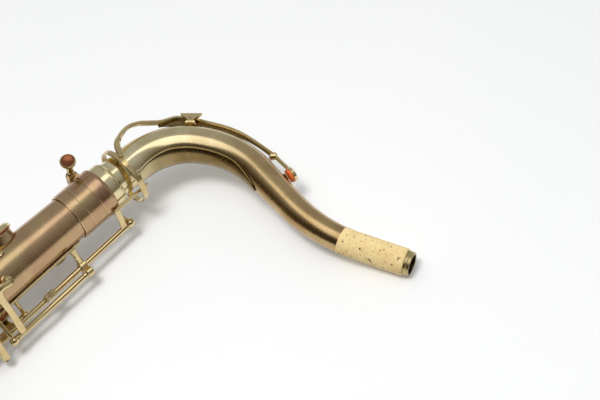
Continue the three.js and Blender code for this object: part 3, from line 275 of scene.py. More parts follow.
class Finish:
    """A procedural material in the object's own metres"""

    def __init__(self, name, metallic, roughness, **values):
        self.material = bpy.data.materials.new(name)
        self.material.use_nodes = True
        self.nodes, self.links = self.material.node_tree.nodes, self.material.node_tree.links
        self.shader = self.nodes["Principled BSDF"]
        self.fill(self.shader, Base_Color=(0.5, 0.5, 0.5, 1), Metallic=metallic, Roughness=roughness)
        self.fill(self.shader, **values)
        self.where = self.nodes.new("ShaderNodeTexCoord").outputs["Object"]

    @staticmethod
    def fill(node, **values):
        for name, value in values.items():
            node.inputs[name.replace("_", " ")].default_value = value

    def plug(self, source, socket):
        self.links.new(source, self.shader.inputs[socket])

    def texture(self, kind, stretch=(1, 1, 1), **values):
        mapping, made = self.nodes.new("ShaderNodeMapping"), self.nodes.new(kind)
        self.fill(mapping, Scale=stretch)
        self.fill(made, **values)
        self.links.new(self.where, mapping.inputs["Vector"])
        self.links.new(mapping.outputs["Vector"], made.inputs["Vector"])
        return made.outputs

    def noise(self, scale, detail, stretch=(1, 1, 1), distortion=0.0):
        values = {"Scale": scale, "Detail": detail, "Distortion": distortion}
        return self.texture("ShaderNodeTexNoise", stretch, **values)["Fac"]

    def ramp(self, source, *stops):
        ramp = self.nodes.new("ShaderNodeValToRGB")
        elements = ramp.color_ramp.elements
        while len(elements) < len(stops):
            elements.new(0.5)
        for element, (place, colour) in zip(elements, stops):
            element.position = place
            element.color = (*(colour if isinstance(colour, tuple) else [colour] * 3), 1)
        self.links.new(source, ramp.inputs["Fac"])
        return ramp.outputs["Color"]

    def tones(self, source, low, high):
        return self.ramp(source, (0.35, low), (0.65, high))

    def mix(self, share, a, b, kind="MIX"):
        mix = self.nodes.new("ShaderNodeMix")
        mix.data_type, mix.blend_type = "RGBA", kind
        sockets = {item.identifier: item for item in mix.inputs}
        for name, value in (("Factor_Float", share), ("A_Color", a), ("B_Color", b)):
            if isinstance(value, bpy.types.NodeSocket):
                self.links.new(value, sockets[name])
            else:
                sockets[name].default_value = (*value, 1) if isinstance(value, tuple) else value
        return next(item for item in mix.outputs if item.identifier == "Result_Color")

    def spread(self, source, low, high, start=0.3, end=0.7):
        made = self.nodes.new("ShaderNodeMapRange")
        self.fill(made, From_Min=start, From_Max=end, To_Min=low, To_Max=high)
        self.links.new(source, made.inputs["Value"])
        return made.outputs["Result"]

    def bump(self, height, distance, strength):
        """The material, with a bump as its last touch"""
        made = self.nodes.new("ShaderNodeBump")
        self.fill(made, Distance=distance * MM, Strength=strength)
        self.links.new(height, made.inputs["Height"])
        self.plug(made.outputs["Normal"], "Normal")
        return self.material

    def vector(self, operation, source, value):
        made = self.nodes.new("ShaderNodeVectorMath")
        made.operation = operation
        made.inputs[1].default_value = value
        self.links.new(source, made.inputs[0])
        return made.outputs

    def fade(self, start, end):
        """0 at one point of the instrument, 1 at another"""
        apart = self.vector("SUBTRACT", self.where, start)["Vector"]
        share = self.vector("DOT_PRODUCT", apart, (end - start) / (end - start).length_squared)["Value"]
        return self.spread(share, 0, 1, 0, 1)

    def painted_corner_shade(self, colour, tone, most):
        """The colour with painted shade: a darker tone in hollows and corners, found by ambient occlusion"""
        made = self.nodes.new("ShaderNodeAmbientOcclusion")
        made.samples, made.only_local = 8, True
        self.fill(made, Distance=3 * MM)
        return self.mix(self.ramp(made.outputs["AO"], (0.2, most), (0.6, 0.0)), colour, tone)


def bronze_finish():
    """Satin antique lacquer: a rose brown that thins to gold in patches, with a fine grain and specks"""
    made = Finish("bronze", 1, 0.36)
    grain = made.noise(1100, 3, (0.6, 1, 1))
    patches = made.noise(34, 5, distortion=0.8)
    colour = made.ramp(patches, (0.34, (0.44, 0.265, 0.165)), (0.52, (0.49, 0.32, 0.18)),
                       (0.68, (0.52, 0.375, 0.195)))
    specks = made.ramp(made.noise(1700, 2), (0.30, 0.70), (0.38, 1.0))
    tarnish = made.ramp(made.noise(11, 6, distortion=1.2), (0.35, 0.84), (0.55, 1.0))
    colour = made.mix(0.4, colour, specks, "MULTIPLY")
    made.plug(made.mix(0.8, colour, tarnish, "MULTIPLY"), "Base Color")
    made.plug(made.spread(grain, 0.18, 0.28), "Roughness")
    return made.bump(grain, 0.006, 0.2)


def gold_finish(name, start, end, dark, light):
    """The neck's: polished at its foot, satin and browner from a share of its length on, with worn specks"""
    made = Finish(name, 1, 0.25)
    along = made.fade(neck_spot(start), neck_spot(end))
    clouds = made.noise(48, 5, distortion=0.7)
    bright = made.tones(clouds, (0.69, 0.58, 0.33), (0.81, 0.71, 0.45))
    colour = made.mix(along, bright, made.tones(clouds, dark, light))
    # painted shade: a dark brown laid into the neck's hollows and corners
    colour = made.painted_corner_shade(colour, (0.30, 0.20, 0.08), 0.5)
    specks = made.ramp(made.noise(1300, 2), (0.28, 0.6), (0.34, 1.0))
    made.plug(made.mix(0.45, colour, specks, "MULTIPLY"), "Base Color")
    grain = made.noise(900, 3)
    made.plug(made.mix(along, made.spread(grain, 0.12, 0.20), made.spread(grain, 0.20, 0.30)), "Roughness")
    return made.bump(grain, 0.004, 0.15)


def brass_finish(name, dark, light, rough):
    """Polished brass with a clear lacquer, cloudy patches, hairlines and painted shade in its corners"""
    made = Finish(name, 1, rough)
    colour = made.tones(made.noise(70, 4, distortion=0.5), dark, light)
    # painted shade: a dark brown laid into the brass's hollows and corners
    made.plug(made.painted_corner_shade(colour, (0.30, 0.20, 0.09), 0.6), "Base Color")
    lines = made.noise(700, 2, (0.08, 1, 1))
    made.plug(made.spread(made.mix(0.4, made.noise(160, 3), lines), rough - 0.05, rough + 0.09), "Roughness")
    return made.bump(lines, 0.006, 0.25)


def cork_finish():
    """Cut cork: pale cells with darker bands, brown pits and streaks"""
    made = Finish("cork", 0, 0.75)
    bands = made.noise(110, 5, distortion=0.4)
    tone = made.ramp(bands, (0.35, (0.84, 0.62, 0.29)), (0.62, (0.93, 0.74, 0.37)))
    cells = made.texture("ShaderNodeTexVoronoi", Scale=1100)["Distance"]
    tone = made.mix(0.3, tone, made.ramp(cells, (0.0, 0.72), (0.5, 1.0)), "MULTIPLY")
    pits = made.ramp(made.noise(380, 2), (0.66, 0.0), (0.69, 1.0))
    dust = made.ramp(made.noise(820, 2), (0.64, 0.0), (0.68, 0.9))
    tone = made.mix(dust, tone, (0.36, 0.19, 0.07))
    made.plug(made.mix(pits, tone, (0.13, 0.06, 0.022)), "Base Color")
    height = made.mix(pits, made.ramp(cells, (0.0, 0.55), (0.5, 0.7)), (0.0, 0.0, 0.0))
    return made.bump(height, 0.25, 0.6)


def leather_finish():
    made = Finish("leather", 0, 0.5)
    made.plug(made.tones(made.noise(180, 4), (0.62, 0.115, 0.02), (0.86, 0.20, 0.035)), "Base Color")
    return made.bump(made.texture("ShaderNodeTexVoronoi", Scale=2600)["Distance"], 0.05, 0.5)


def pearl_finish():
    """Mother of pearl: milky layers with faint pink and green bands"""
    made = Finish("pearl", 0, 0.16, Coat_Weight=0.6, Coat_Roughness=0.05, Sheen_Weight=0.15)
    bands = made.texture("ShaderNodeTexWave", Scale=55, Distortion=9, Detail=3)["Fac"]
    tone = made.ramp(bands, (0.1, (0.80, 0.74, 0.66)), (0.45, (0.88, 0.86, 0.80)),
                     (0.7, (0.76, 0.84, 0.78)), (0.95, (0.90, 0.78, 0.76)))
    made.plug(tone, "Base Color")
    return made.material


def felt_finish():
    made = Finish("felt", 0, 0.95, Sheen_Weight=0.4)
    fibres = made.noise(2400, 3)
    made.plug(made.tones(fibres, (0.22, 0.03, 0.025), (0.42, 0.07, 0.05)), "Base Color")
    return made.bump(fibres, 0.12, 0.7)


def steel_finish():
    made = Finish("steel", 1, 0.3)
    made.plug(made.tones(made.noise(300, 4), (0.23, 0.23, 0.24), (0.38, 0.38, 0.39)), "Base Color")
    made.plug(made.spread(made.noise(900, 2), 0.22, 0.4), "Roughness")
    return made.material


# Sizes, the same as the CAD source's

GAP = 0.3
BODY = Sizes(top=24.5, top_radius=15.3, bottom=646, bottom_radius=30.3, wall=1)
BOW = Sizes(straight=12, bend=52, start=30.3, end=35.3, wall=1)
BELL = Sizes(lean=3.6, length=345, taper=6, flare=34.7, power=5, wall=1, bead=2.2)
FERRULE = Sizes(length=16, wall=2.2, play=0.8)
RECEIVER = Sizes(rim=17.2, radius=16.6, bore=14.4, length=28.5, flare=4)
LUG = Sizes(drop=7, length=9, thickness=3.4, reach=8, slot=1.6)
SCREW = Sizes(stem=2.4, head=5.3, thickness=3, standoff=15, shank=1.4, tail=4)
NECK = Sizes(tilt=6.1, base=3.3, base_radius=13.5, tip_radius=7.4, wall=1)
NECK_RUNS = [(24.3, 0), (47.3, 57.6), (68.3, 41.5), (33.5, 0), (110.7, -28), (36.8, 0)]
TENON = Sizes(radius=14, collar=15.6, length=8.6, wall=1.4)
CORK = Sizes(length=43.7, radius=8.7, edge=1.2, round=0.9)
TIP = Sizes(length=3.6, radius=8)
CHIMNEY = Sizes(wall=1, height=3, bell_height=4)
CUP = Sizes(margin=2, inset=1.2, stand=1, wall=3, dome=1.6)
BODY_HOLES = {
    "high_fs": (48, -92, 7), "palm_f": (72, 26, 9), "side_e": (101, -102, 8.5), "palm_eb": (134, 34, 9),
    "palm_d": (171, 6, 9), "side_c": (185, -91, 8.5), "c": (207, 0, 8.5), "side_bb": (233, -81, 8.5),
    "b": (246, 0, 10.5), "bis": (283, 0, 7.5), "a": (322, 0, 11.5), "g": (366, 0, 13.5),
    "gs": (405, 22, 12.5),
    "fs": (448, 0, 16), "f": (495, 0, 17.5), "e": (545, 0, 19), "d": (598, 0, 20),
}
BOW_HOLES = {"low_eb": (53, 21), "low_c": (125, 23)}
BELL_HOLES = {"low_cs": (58, 1, 21), "low_b": (135, -1, 25), "low_bb": (221, -1, 26)}
VENT = Sizes(drop=89, turn=131, radius=1.2, pip=2.2, height=2.4)
HINGE = Sizes(radius=2, end=9, post_radius=3, post_length=5)
ARM = Sizes(width=4.5, thickness=2.4, sink=0.6)
LINES = {
    "upper": (-40, 17, -43, ["c_key", "b_key", "bis_key", "a_key", "g_key"]),
    "lower": (-40, 20, -51, ["fs_key", "f_key", "e_key", "d_key"]),
    "side_bb": (-110, 14, -112, ["side_bb_key"]), "side_c": (-120, 14, -124, ["side_c_key"]),
    "side_e": (-132, 14, -138, ["side_e_key"]), "high_fs": (-64, 18, -60, ["high_fs_key"]),
    "palm_f": (70, 13, 74, ["palm_f_key"]), "palm_eb": (80, 14, 80, ["palm_eb_key"]),
    "palm_d": (60, 13, 66, ["palm_d_key"]), "gs": (53.5, 14.8, 64, ["gs_key"]),
}
KEYS = {
    "c_key": {"hole": "c", "open": 9, "stands": True},
    "b_key": {"hole": "b", "touch": (226, 26, 11, 7.5), "open": 10, "stands": True, "post": True},
    "bis_key": {"hole": "bis", "touch": (266.5, 22, 11, 5), "open": 8, "stands": True},
    "a_key": {"hole": "a", "touch": (300, 24, 11, 7.5), "open": 10, "stands": True, "post": True},
    "g_key": {"hole": "g", "touch": (343, 27, 11, 7.5), "open": 10, "stands": True},
    "gs_key": {"hole": "gs", "paddle": (416, 96, 25, 18, 14), "open": 11},
    "fs_key": {"hole": "fs", "open": 10, "stands": True, "post": True},
    "f_key": {"hole": "f", "touch": (495, 22, 13, 8), "open": 10, "stands": True, "post": True},
    "e_key": {"hole": "e", "touch": (545, 22, 13, 8), "open": 10, "stands": True, "post": True},
    "d_key": {"hole": "d", "touch": (598, 22, 13, 8), "open": 10, "stands": True},
    "side_bb_key": {"hole": "side_bb", "paddle": (394, -126, 16, 27, 9), "open": 10},
    "side_c_key": {"hole": "side_c", "paddle": (362, -137, 16, 27, 9), "open": 10},
    "side_e_key": {"hole": "side_e", "paddle": (330, -149, 16, 27, 9), "open": 10},
    "high_fs_key": {"hole": "high_fs", "paddle": (412, -48, 21, 20, 9), "open": 10},
    "palm_f_key": {"hole": "palm_f", "paddle": (116, 98, 22, 26, 11), "elbow": 20, "open": 9},
    "palm_eb_key": {"hole": "palm_eb", "paddle": (152, 104, 24, 28, 12), "open": 10},
    "palm_d_key": {"hole": "palm_d", "paddle": (192, 92, 22, 32, 13), "open": 10},
}
BRACE = Sizes(start=20.5, end=131, thickness=1.6, start_spread=30, spread=46, point_spread=4,
              swell=30, point=26)
PIP = Sizes(along=136.5, radius=2.2, height=1.7, foot=3.4, bore=0.9)
SADDLE = Sizes(along=65.7, height=6, width=13, length=9, thickness=1.4, ear=2, ear_width=4)
LOOP = Sizes(rise=18, radius=20, width=4, thickness=1.4, offset=3, offset_turn=200, strap_turn=88)
STRAP = Sizes(thickness=2.5, height=7.4, crest=49)
STRAP_LINE = [(58, 1, 9.2), (51, 4, 7.6), (45, 12, 8.2), (40, 22, 9), (34, 33, 8.8), (28, 45, 6.8),
              (22, 64, 5.4)]
STRAP_WIDTHS = [5.4, 4.6, 3.8, 3.8, 4.2, 4.4, 4.4, 4.3, 4.2]
LONG_ARM = Sizes(thickness=2.2, bend_share=0.37, bend_height=4.9, end_share=0.74, end_height=5,
                 widths=(5.4, 5.2, 4.4, 4.2), tip_widths=(2.8, 2.6))
OCTAVE_PAD = Sizes(radius=5, thickness=2, cup=2.4)
EAR = Sizes(top=2.9, flare=7.4, waist=2.1, waist_drop=-2.4, foot=3.6)
STUB = Sizes(radius=2.6, below=3.6, above=1.8, lean=35)
WEB = 1.5
RIB = Sizes(width=5, tip=2.4, thickness=1.2, crown=0.2, end=6)
PADDLE = 2.2
TOUCH_ARMS = {
    "pearl": Sizes(share=0.55, lift=2.33, seat=0.6, steps=8,
                   widths=(5.0, 4.2, 5.2), thickness=1.92, crown=0.25),
    "paddle": Sizes(share=0.6, lift=1.0, seat=0.8, steps=8,
                    widths=(5.0, 4.2, 5.4), thickness=2.04, crown=0.25),
    "thumb": Sizes(share=0.5, lift=1.5, seat=0.8, steps=8,
                   widths=(5.2, 4.4, 6.0), thickness=2.16, crown=0.3),
    "table": Sizes(share=0.5, lift=1.2, seat=0.9, steps=8,
                   widths=(5, 4.2, 6), thickness=2.1, crown=0.3),
    "bow": Sizes(share=0.5, lift=1.5, seat=0.9, steps=8,
                 widths=(5, 4.2, 6), thickness=2.1, crown=0.3),
    "lever": Sizes(share=0.5, lift=0, seat=0.9, steps=6,
                   widths=(5, 4.4, 6), thickness=2.1, crown=0.3),
}
RIB_LINES = ("upper", "lower")
BELL_KEYS = {
    "low_cs_key": {"front": 80, "left": 46, "upper": 430, "lower": 612, "hole": "low_cs", "open": 9},
    "low_b_key": {"front": 78, "left": -49, "upper": 430, "lower": 520,
                  "hole": "low_b", "open": 9, "stands": True},
    "low_bb_key": {"front": 88, "left": -62, "upper": 410, "lower": 466,
                   "hole": "low_bb", "open": 9, "stands": True},
}
BOW_KEYS = {
    "low_eb_key": {"front": 43.5, "left": -44, "upper": 622, "lower": 700, "hole": "low_eb", "open": 10},
    "low_c_key": {"front": 53, "left": -45, "upper": 638.5, "lower": 708,
                  "hole": "low_c", "open": 10, "stands": True},
}
TABLE = Sizes(turn=72, height=21, left=54, top=430, bottom=464)
SPATULAS = {"low_cs_key": (440, 47, 19, 15), "low_b_lever": (438.35, 23, 19, 15),
            "low_bb_lever": (455.65, 28, 14, 26)}
TAILS = {"low_b_key": (57.8, 5.1), "low_bb_key": (59.9, 0.5)}
LINKAGE = Sizes(tube=16.4, end=(70, 8), shoulder=(38, 40))
BOW_TOUCHES = {"low_eb_key": (628, 64, 4, 14, 22), "low_c_key": (650, 68, 4, 14, 24)}
GUARD = Sizes(clear=5, leg=2, thickness=2.4, plate=11, room=9, knee=3.5, widths=(4.0, 6.0, 7.2))
GUARD_TURNS = {"low_eb": (150, 250, 330), "low_c": (20, 110, 260), "low_b": (30, 110, 300),
               "low_bb": (60, 330)}
GUARD_SHOE = [(0, 0), (0, 4.2), (0.5, 4.1), (1.2, 2.6), (2.4, 2.0), (2.4, 0)]
GUARD_FELT = [(0, 0), (0, 6.4), (1.7, 6.2), (2.2, 5.2), (2.3, 0)]
BELL_BRACE = Sizes(drop=519, front=50, left=26, radius=13, width=5, body_turn=58, foot=7,
                   foot_height=1.6, strut=2.2)
RISER = Sizes(turn=215, height=14, top=1.5, bottom=121, foot_turn=237, tail_drop=117, tail_turn=218,
              tail_height=26)
RISER_PIN = Sizes(drop=3.7, turn=177, radius=1.1, reach=18.7, top=24, crank=1.8, crank_turn=195)
VENT_KEY = Sizes(turn=207, height=19, top=44.5, bottom=104, arm_drop=99, end_height=11, cup=3.6)
THUMB_LEVER = Sizes(turn=128, height=12, top=108.5, bottom=250, touch_turn=166, touch_drop=237,
                    touch_height=11, long=22, wide=16, tail_turn=211, tail_height=24)
BLOCK = Sizes(drop=71, length=8, width=5, depth=7, shift=2.5, face_turn=112)
OCTAVE_RIB = Sizes(turn=199, top=34, bottom=130, bearing=4.2)
STRAP_RING = Sizes(drop=328, radius=10, hole=6.5, width=4, plate=2, long=22, wide=12, sink=1.5)
THUMB_HOOK = Sizes(drop=438, plate=2.4, wide=14, long=26, rise=8, bend=12, tip=8)
THUMB_REST = Sizes(drop=268, radius=10, height=4, crown=0.6)


def body_radius(drop):
    share = (drop - BODY.top) / (BODY.bottom - BODY.top)
    return BODY.top_radius + share * (BODY.bottom_radius - BODY.top_radius)


def on_body(drop, turn, height):
    return radial(turn) * (body_radius(drop) + height) - UP * drop


class BentLine:
    """A centre line of straight runs and round bends in one plane: (length, 0) or (radius, turn)"""

    def __init__(self, start, ahead, across, runs):
        self.start, self.ahead, self.across = start, ahead, across
        self.runs = [(radians(abs(turn)) * size if turn else size, size if turn else 0,
                      copysign(1, turn)) for size, turn in runs]
        self.reach = sum(length for length, _, _ in self.runs)

    def at(self, distance):
        here, ahead, across = self.start.copy(), self.ahead.copy(), self.across.copy()
        left = distance
        for length, bend, side in self.runs:
            part = min(left, length) if left > 0 else left
            if bend and part > 0:
                angle = part / bend
                here += ahead * (bend * sin(angle)) + across * (side * bend * (1 - cos(angle)))
                angle *= side
                ahead, across = (ahead * cos(angle) + across * sin(angle),
                                 across * cos(angle) - ahead * sin(angle))
            else:
                here += ahead * part
            left -= part
            if left <= 0:
                break
        here += ahead * max(left, 0)
        return here, ahead, across


BOW_LINE = BentLine(Vector((-BODY.bottom - GAP, 0, 0)), -UP, FRONT,
                    [(BOW.straight, 0), (BOW.bend, 180 - BELL.lean), (BOW.straight, 0)])
BELL_FOOT, BELL_AXIS, _ = BOW_LINE.at(BOW_LINE.reach + GAP)
BELL_SEAT = axes_at(BELL_FOOT, BELL_AXIS, LEFT)
NECK_LINE = BentLine(UP * NECK.base, UP, Vector((0, -cos(radians(NECK.tilt)), sin(radians(NECK.tilt)))),
                     NECK_RUNS)


def bow_radius(distance):
    return BOW.start + distance / BOW_LINE.reach * (BOW.end - BOW.start)


def bell_radius(up):
    share = up / BELL.length
    return BOW.end + BELL.taper * share + BELL.flare * max(share, 0) ** BELL.power


def neck_radius(distance):
    return NECK.base_radius + distance / NECK_LINE.reach * (NECK.tip_radius - NECK.base_radius)


def loft_rings(line, radius_at, start, end, steps, sides):
    rings = []
    for i in range(steps + 1):
        distance = start + (end - start) * i / steps
        here, ahead, across = line.at(distance)
        third = ahead.cross(across)
        radius = radius_at(distance)
        rings.append([here + (across * cos(a) + third * sin(a)) * radius for a in angles(sides)])
    return rings


def pipe(line, radius_at, wall, start, end, steps, sides):
    """A hollow tube along a line, open at both ends"""
    outside = loft_rings(line, radius_at, start, end, steps, sides)
    inside = loft_rings(line, lambda d: radius_at(d) - wall, start, end, steps, sides)
    return skin(outside + inside[::-1], True)


def on_neck(distance, roll, height):
    """Point, way out, way ahead and way aside at a roll from the outside of the bend to the left"""
    here, ahead, across = NECK_LINE.at(distance)
    out = -across
    side = ahead.cross(out)
    way = out * cos(radians(roll)) + side * sin(radians(roll))
    return here + way * (neck_radius(distance) + height), way, ahead, side


# Tone holes: crown point, way out, axis point, chimney height and hole radius
def body_place(name):
    drop, turn, radius = BODY_HOLES[name]
    return on_body(drop, turn, 0), radial(turn), Vector((-drop, 0, 0)), CHIMNEY.height, radius


def bow_place(name):
    distance, radius = BOW_HOLES[name]
    here, _, _ = BOW_LINE.at(distance)
    return here - LEFT * bow_radius(distance), -LEFT, here, CHIMNEY.bell_height, radius


def bell_place(name):
    up, side, radius = BELL_HOLES[name]
    foot = BELL_FOOT + BELL_AXIS * up
    return foot + LEFT * (side * bell_radius(up)), LEFT * side, foot, CHIMNEY.bell_height, radius


def chimney(place):
    """The drawn-up ring round a tone hole, with its rolled edge"""
    point, out, axis, height, radius = place
    base = (point - axis).length
    reach = sqrt(max(base ** 2 - (radius + CHIMNEY.wall) ** 2, 0)) - 1.2
    top, outer = base + height, radius + CHIMNEY.wall
    lip = 0.35
    profile = [(reach, outer), (top - 1.1, outer), (top - 0.9, outer + lip * 0.4),
               (top - 0.5, outer + lip * 0.6), (top - 0.1, outer + lip * 0.2), (top, outer - 0.2),
               (top, radius + 0.15), (top - 0.15, radius), (reach, radius), (reach, outer)]
    return standing(profile, axis, out, 56)


def pierce(name, shape, places):
    """A tube with its tone holes cut through"""
    cutters = []
    for point, out, axis, height, radius in places:
        base = (point - axis).length
        low, high = base * 0.35, base + height + 6
        cutters.append(standing([(low, 0), (low, radius), (high, radius), (high, 0)], axis, out, 56))
    return carve(name, shape, cutters)


def post(foot, head):
    """A ball post: foot disc, waisted stem and a ball, with the ends of the pivot screw"""
    rise, ball_radius, pivot = head - foot, 3.0, 2.3
    length, way, reach = rise.length, rise.normalized(), ball_radius - 0.3
    stem = [(0, 0), (0, 3.3), (0.5, 3.3), (0.9, 2.6), (1.3, 1.5), (length * 0.55, 1.25),
            (length - 2.4, 1.7), (length, 0)]
    shape = standing(stem, foot, way, 20).join(ball(head, ball_radius, UP, 24, 12))
    return shape.join(rod(head - UP * reach, head + UP * reach, pivot, 20, 0.5))


# Body, bow and bell


def hollow(outside, inside):
    """A tube from its outer profile and its inner one, both from the low end up"""
    return turned(outside + inside[::-1] + outside[:1], 96)


def build_body():
    top, bottom = -BODY.top, -BODY.bottom
    rows = [bottom + (top - bottom) * i / 40 for i in range(41)]
    outside = [(x, body_radius(-x)) for x in rows]
    inside = [(x, body_radius(-x) - BODY.wall) for x in rows]
    places = [body_place(name) for name in BODY_HOLES]
    tube = pierce("body_tube_wall", hollow(outside, inside), places)
    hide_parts("body_tube")
    part = Part("body_tube")
    part.add("bronze", *[chimney(place) for place in places])
    pip = on_body(VENT.drop, VENT.turn, 0)
    out = radial(VENT.turn)
    part.brass(standing([(-1, VENT.radius), (-1, VENT.pip + 1), (0.5, VENT.pip + 0.8), (0.9, VENT.pip),
                         (VENT.height, VENT.pip), (VENT.height, VENT.radius), (-1, VENT.radius)], pip, out,
                        28))
    for name, (turn, height, foot_turn, _) in LINES.items():
        if name in RIB_LINES:
            continue
        for drop in share_line(name)[1]:
            part.brass(body_post(drop, foot_turn, turn, height))
    for line in (THUMB_LEVER, TABLE):
        for drop in post_drops(line.top, line.bottom):
            part.brass(body_post(drop, line.turn, line.turn, line.height))
    for key in BOW_KEYS.values():
        part.brass(*stand_posts(key, "body")[:1])
    part.build()


def build_bow():
    shape = pipe(BOW_LINE, bow_radius, BOW.wall, 0, BOW_LINE.reach, 60, 96)
    places = [bow_place(name) for name in BOW_HOLES]
    tube = pierce("bow_wall", shape, places)
    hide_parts("bow")
    part = Part("bow").add("bronze", *[chimney(place) for place in places])
    for key in BOW_KEYS.values():
        part.brass(*stand_posts(key, "bow")[1:])
    part.build()


def build_bell():
    length, bead = BELL.length, BELL.bead * 0.72
    rows = [length * sqrt(i / 48) for i in range(48)]
    outside = [(up, bell_radius(up)) for up in rows]
    rim = bell_radius(length)
    roll = []
    for turn in range(250, 0, -20):
        roll.append((length + bead * sin(radians(turn)), rim - bead * cos(radians(turn))))
    inside = [(up, bell_radius(up) - BELL.wall) for up in rows]
    shape = turned(outside + roll + inside[::-1] + outside[:1], 128, BELL_SEAT)
    places = [bell_place(name) for name in BELL_HOLES]
    tube = pierce("bell_wall", shape, places)
    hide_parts("bell")
    part = Part("bell").add("bronze", *[chimney(place) for place in places])
    for key in BELL_KEYS.values():
        part.brass(*stand_posts(key, "bell"))
    part.build()


def build_ferrule(node, distance, radius):
    here, ahead, _ = BOW_LINE.at(distance - FERRULE.length / 2)
    inner, length = radius + FERRULE.play, FERRULE.length
    outer = inner + FERRULE.wall
    bead = 0.7
    profile = [(0, inner), (0, outer - 0.5), (0.5, outer), (2.6, outer), (3, outer - bead),
               (3.4, outer - bead), (3.8, outer - 0.2), (length - 3.8, outer - 0.2),
               (length - 3.4, outer - bead), (length - 3, outer - bead), (length - 2.6, outer),
               (length - 0.5, outer), (length, outer - 0.5), (length, inner), (0, inner)]
    Part(node).add("bronze", standing(profile, here, ahead, 96)).build(sharp=30)


def build_receiver():
    rim, radius, bore, length = RECEIVER.rim, RECEIVER.radius, RECEIVER.bore, RECEIVER.length
    seat = body_radius(length) + GAP
    step = GAP - BODY.top
    outside = [(-length, seat), (-length, radius - 0.3), (-length + 0.3, radius), (-21, radius),
               (-20.7, radius - 0.18), (-20.2, radius - 0.18), (-19.9, radius), (-10.4, radius),
               (-10.2, radius - 0.3), (-9.7, radius - 0.3), (-9.4, radius + 0.05), (-7, radius + 0.2),
               (-4, radius + 0.42), (-2.2, rim - 0.1), (-0.7, rim), (-0.15, rim - 0.25), (0, rim - 0.7),
               (0, bore + 0.2), (-0.3, bore)]
    inside = [(step, bore), (step, seat), (-length, seat)]
    wall, depth = turned(outside + inside, 96), radius - bore
    ears = Shape()
    middle, round_end = radius + LUG.reach / 2, LUG.reach / 2
    turns = [radians(-10 + 200 * i / 16) for i in range(17)]
    outline = [(round_end * cos(a), round_end * sin(a)) for a in turns]
    outline += [(-LUG.length / 2, bore + depth / 2 - middle), (LUG.length / 2, bore + depth / 2 - middle)]
    for way in (-1, 1):
        foot = Vector((-LUG.drop, middle, way * LUG.slot / 2))
        ears.join(plate(outline, axes_at(foot, LEFT * way, FRONT), LUG.thickness, 0, 0.5, 2))
    slot = box_shape((-20, bore - depth, -LUG.slot / 2), (3, radius + LUG.reach + 3, LUG.slot / 2))
    reach = LUG.thickness + LUG.slot
    hole = rod(Vector((-LUG.drop, middle, -reach - 3)), Vector((-LUG.drop, middle, reach + 3)), 1.8, 24)
    tube = carve("receiver_wall", wall, [slot])
    # Thin proud rings at the receiver's seams: real rings whose bright brass colour is a painted highlight,
    # the glint along the seam edges
    lines = Shape()
    for low, proud in ((-length - 0.02, 0.04), (-20.25, 0.03), (-9.72, 0.06)):
        high, inner, outer = low + 0.34, radius - 0.6, radius + proud
        lines.join(turned([(low, inner), (low, outer - 0.12), (low + 0.12, outer), (high, outer),
                           (high, inner), (low, inner)], 96))
    carve("receiver_glint_rings", lines, [slot], "brass")
    carve("receiver_ears", ears, [hole])
    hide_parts("receiver")
    foot = radial(RISER.foot_turn) * (radius - depth / 2) - UP * (RECEIVER.flare / 2)
    head = on_body(-HINGE.post_length / 2 + RISER.top - GAP, RISER.turn, RISER.height)
    spot = radial(RISER.foot_turn) * (radius + 0.05) - UP * (RECEIVER.flare / 2)
    part = Part("receiver").brass(post(foot, head))
    disc = [(0, 0), (0, 3.6), (0.8, 3.6), (1.1, 3.2), (1.1, 0)]
    part.add("copper", standing(disc, spot, head - foot, 28)).build()


def build_clamp_screw():
    """The thumbscrew: a beaded stem and a coin head with a dished face"""
    start = LUG.thickness + LUG.slot / 2 + GAP
    out, head, thick = start + SCREW.standoff, SCREW.head, SCREW.thickness
    stem = SCREW.stem
    profile = [(-start - SCREW.tail, 0), (-start - SCREW.tail, SCREW.shank), (start, SCREW.shank),
               (start, stem - 0.3), (start + 0.4, stem), (start + 2.2, stem), (start + 2.8, stem * 0.7),
               (start + 4.4, stem * 0.62), (start + 5.4, stem * 0.9), (start + 6.6, stem * 0.95),
               (start + 7.6, stem * 0.6), (out - 3.4, stem * 0.55), (out - 1.6, stem * 0.75),
               (out - 0.4, stem * 1.15), (out, head - 0.9), (out + 0.5, head - 0.15), (out + 1.1, head),
               (out + thick - 0.8, head), (out + thick - 0.2, head - 0.2), (out + thick, head - 0.6),
               (out + thick - 0.2, head - 0.9), (out + thick - 1.6, head - 0.9), (out + thick - 1.6, 0)]
    dish = [(out + thick - 1.6, 0), (out + thick - 1.6, head - 0.95), (out + thick - 0.4, head - 0.95),
            (out + thick - 0.9, head * 0.6), (out + thick - 1.1, 0)]
    seat = axes_at(Vector((-LUG.drop, RECEIVER.radius + LUG.reach / 2, 0)), LEFT, UP)
    part = Part("receiver_screw", "receiver_screw").brass(turned(profile, 48, seat))
    part.add("copper", turned(dish, 48, seat)).build(sharp=50)


# Neck


def neck_spot(share):
    return INSTRUMENT @ NECK_LINE.at(share * NECK_LINE.reach)[0]


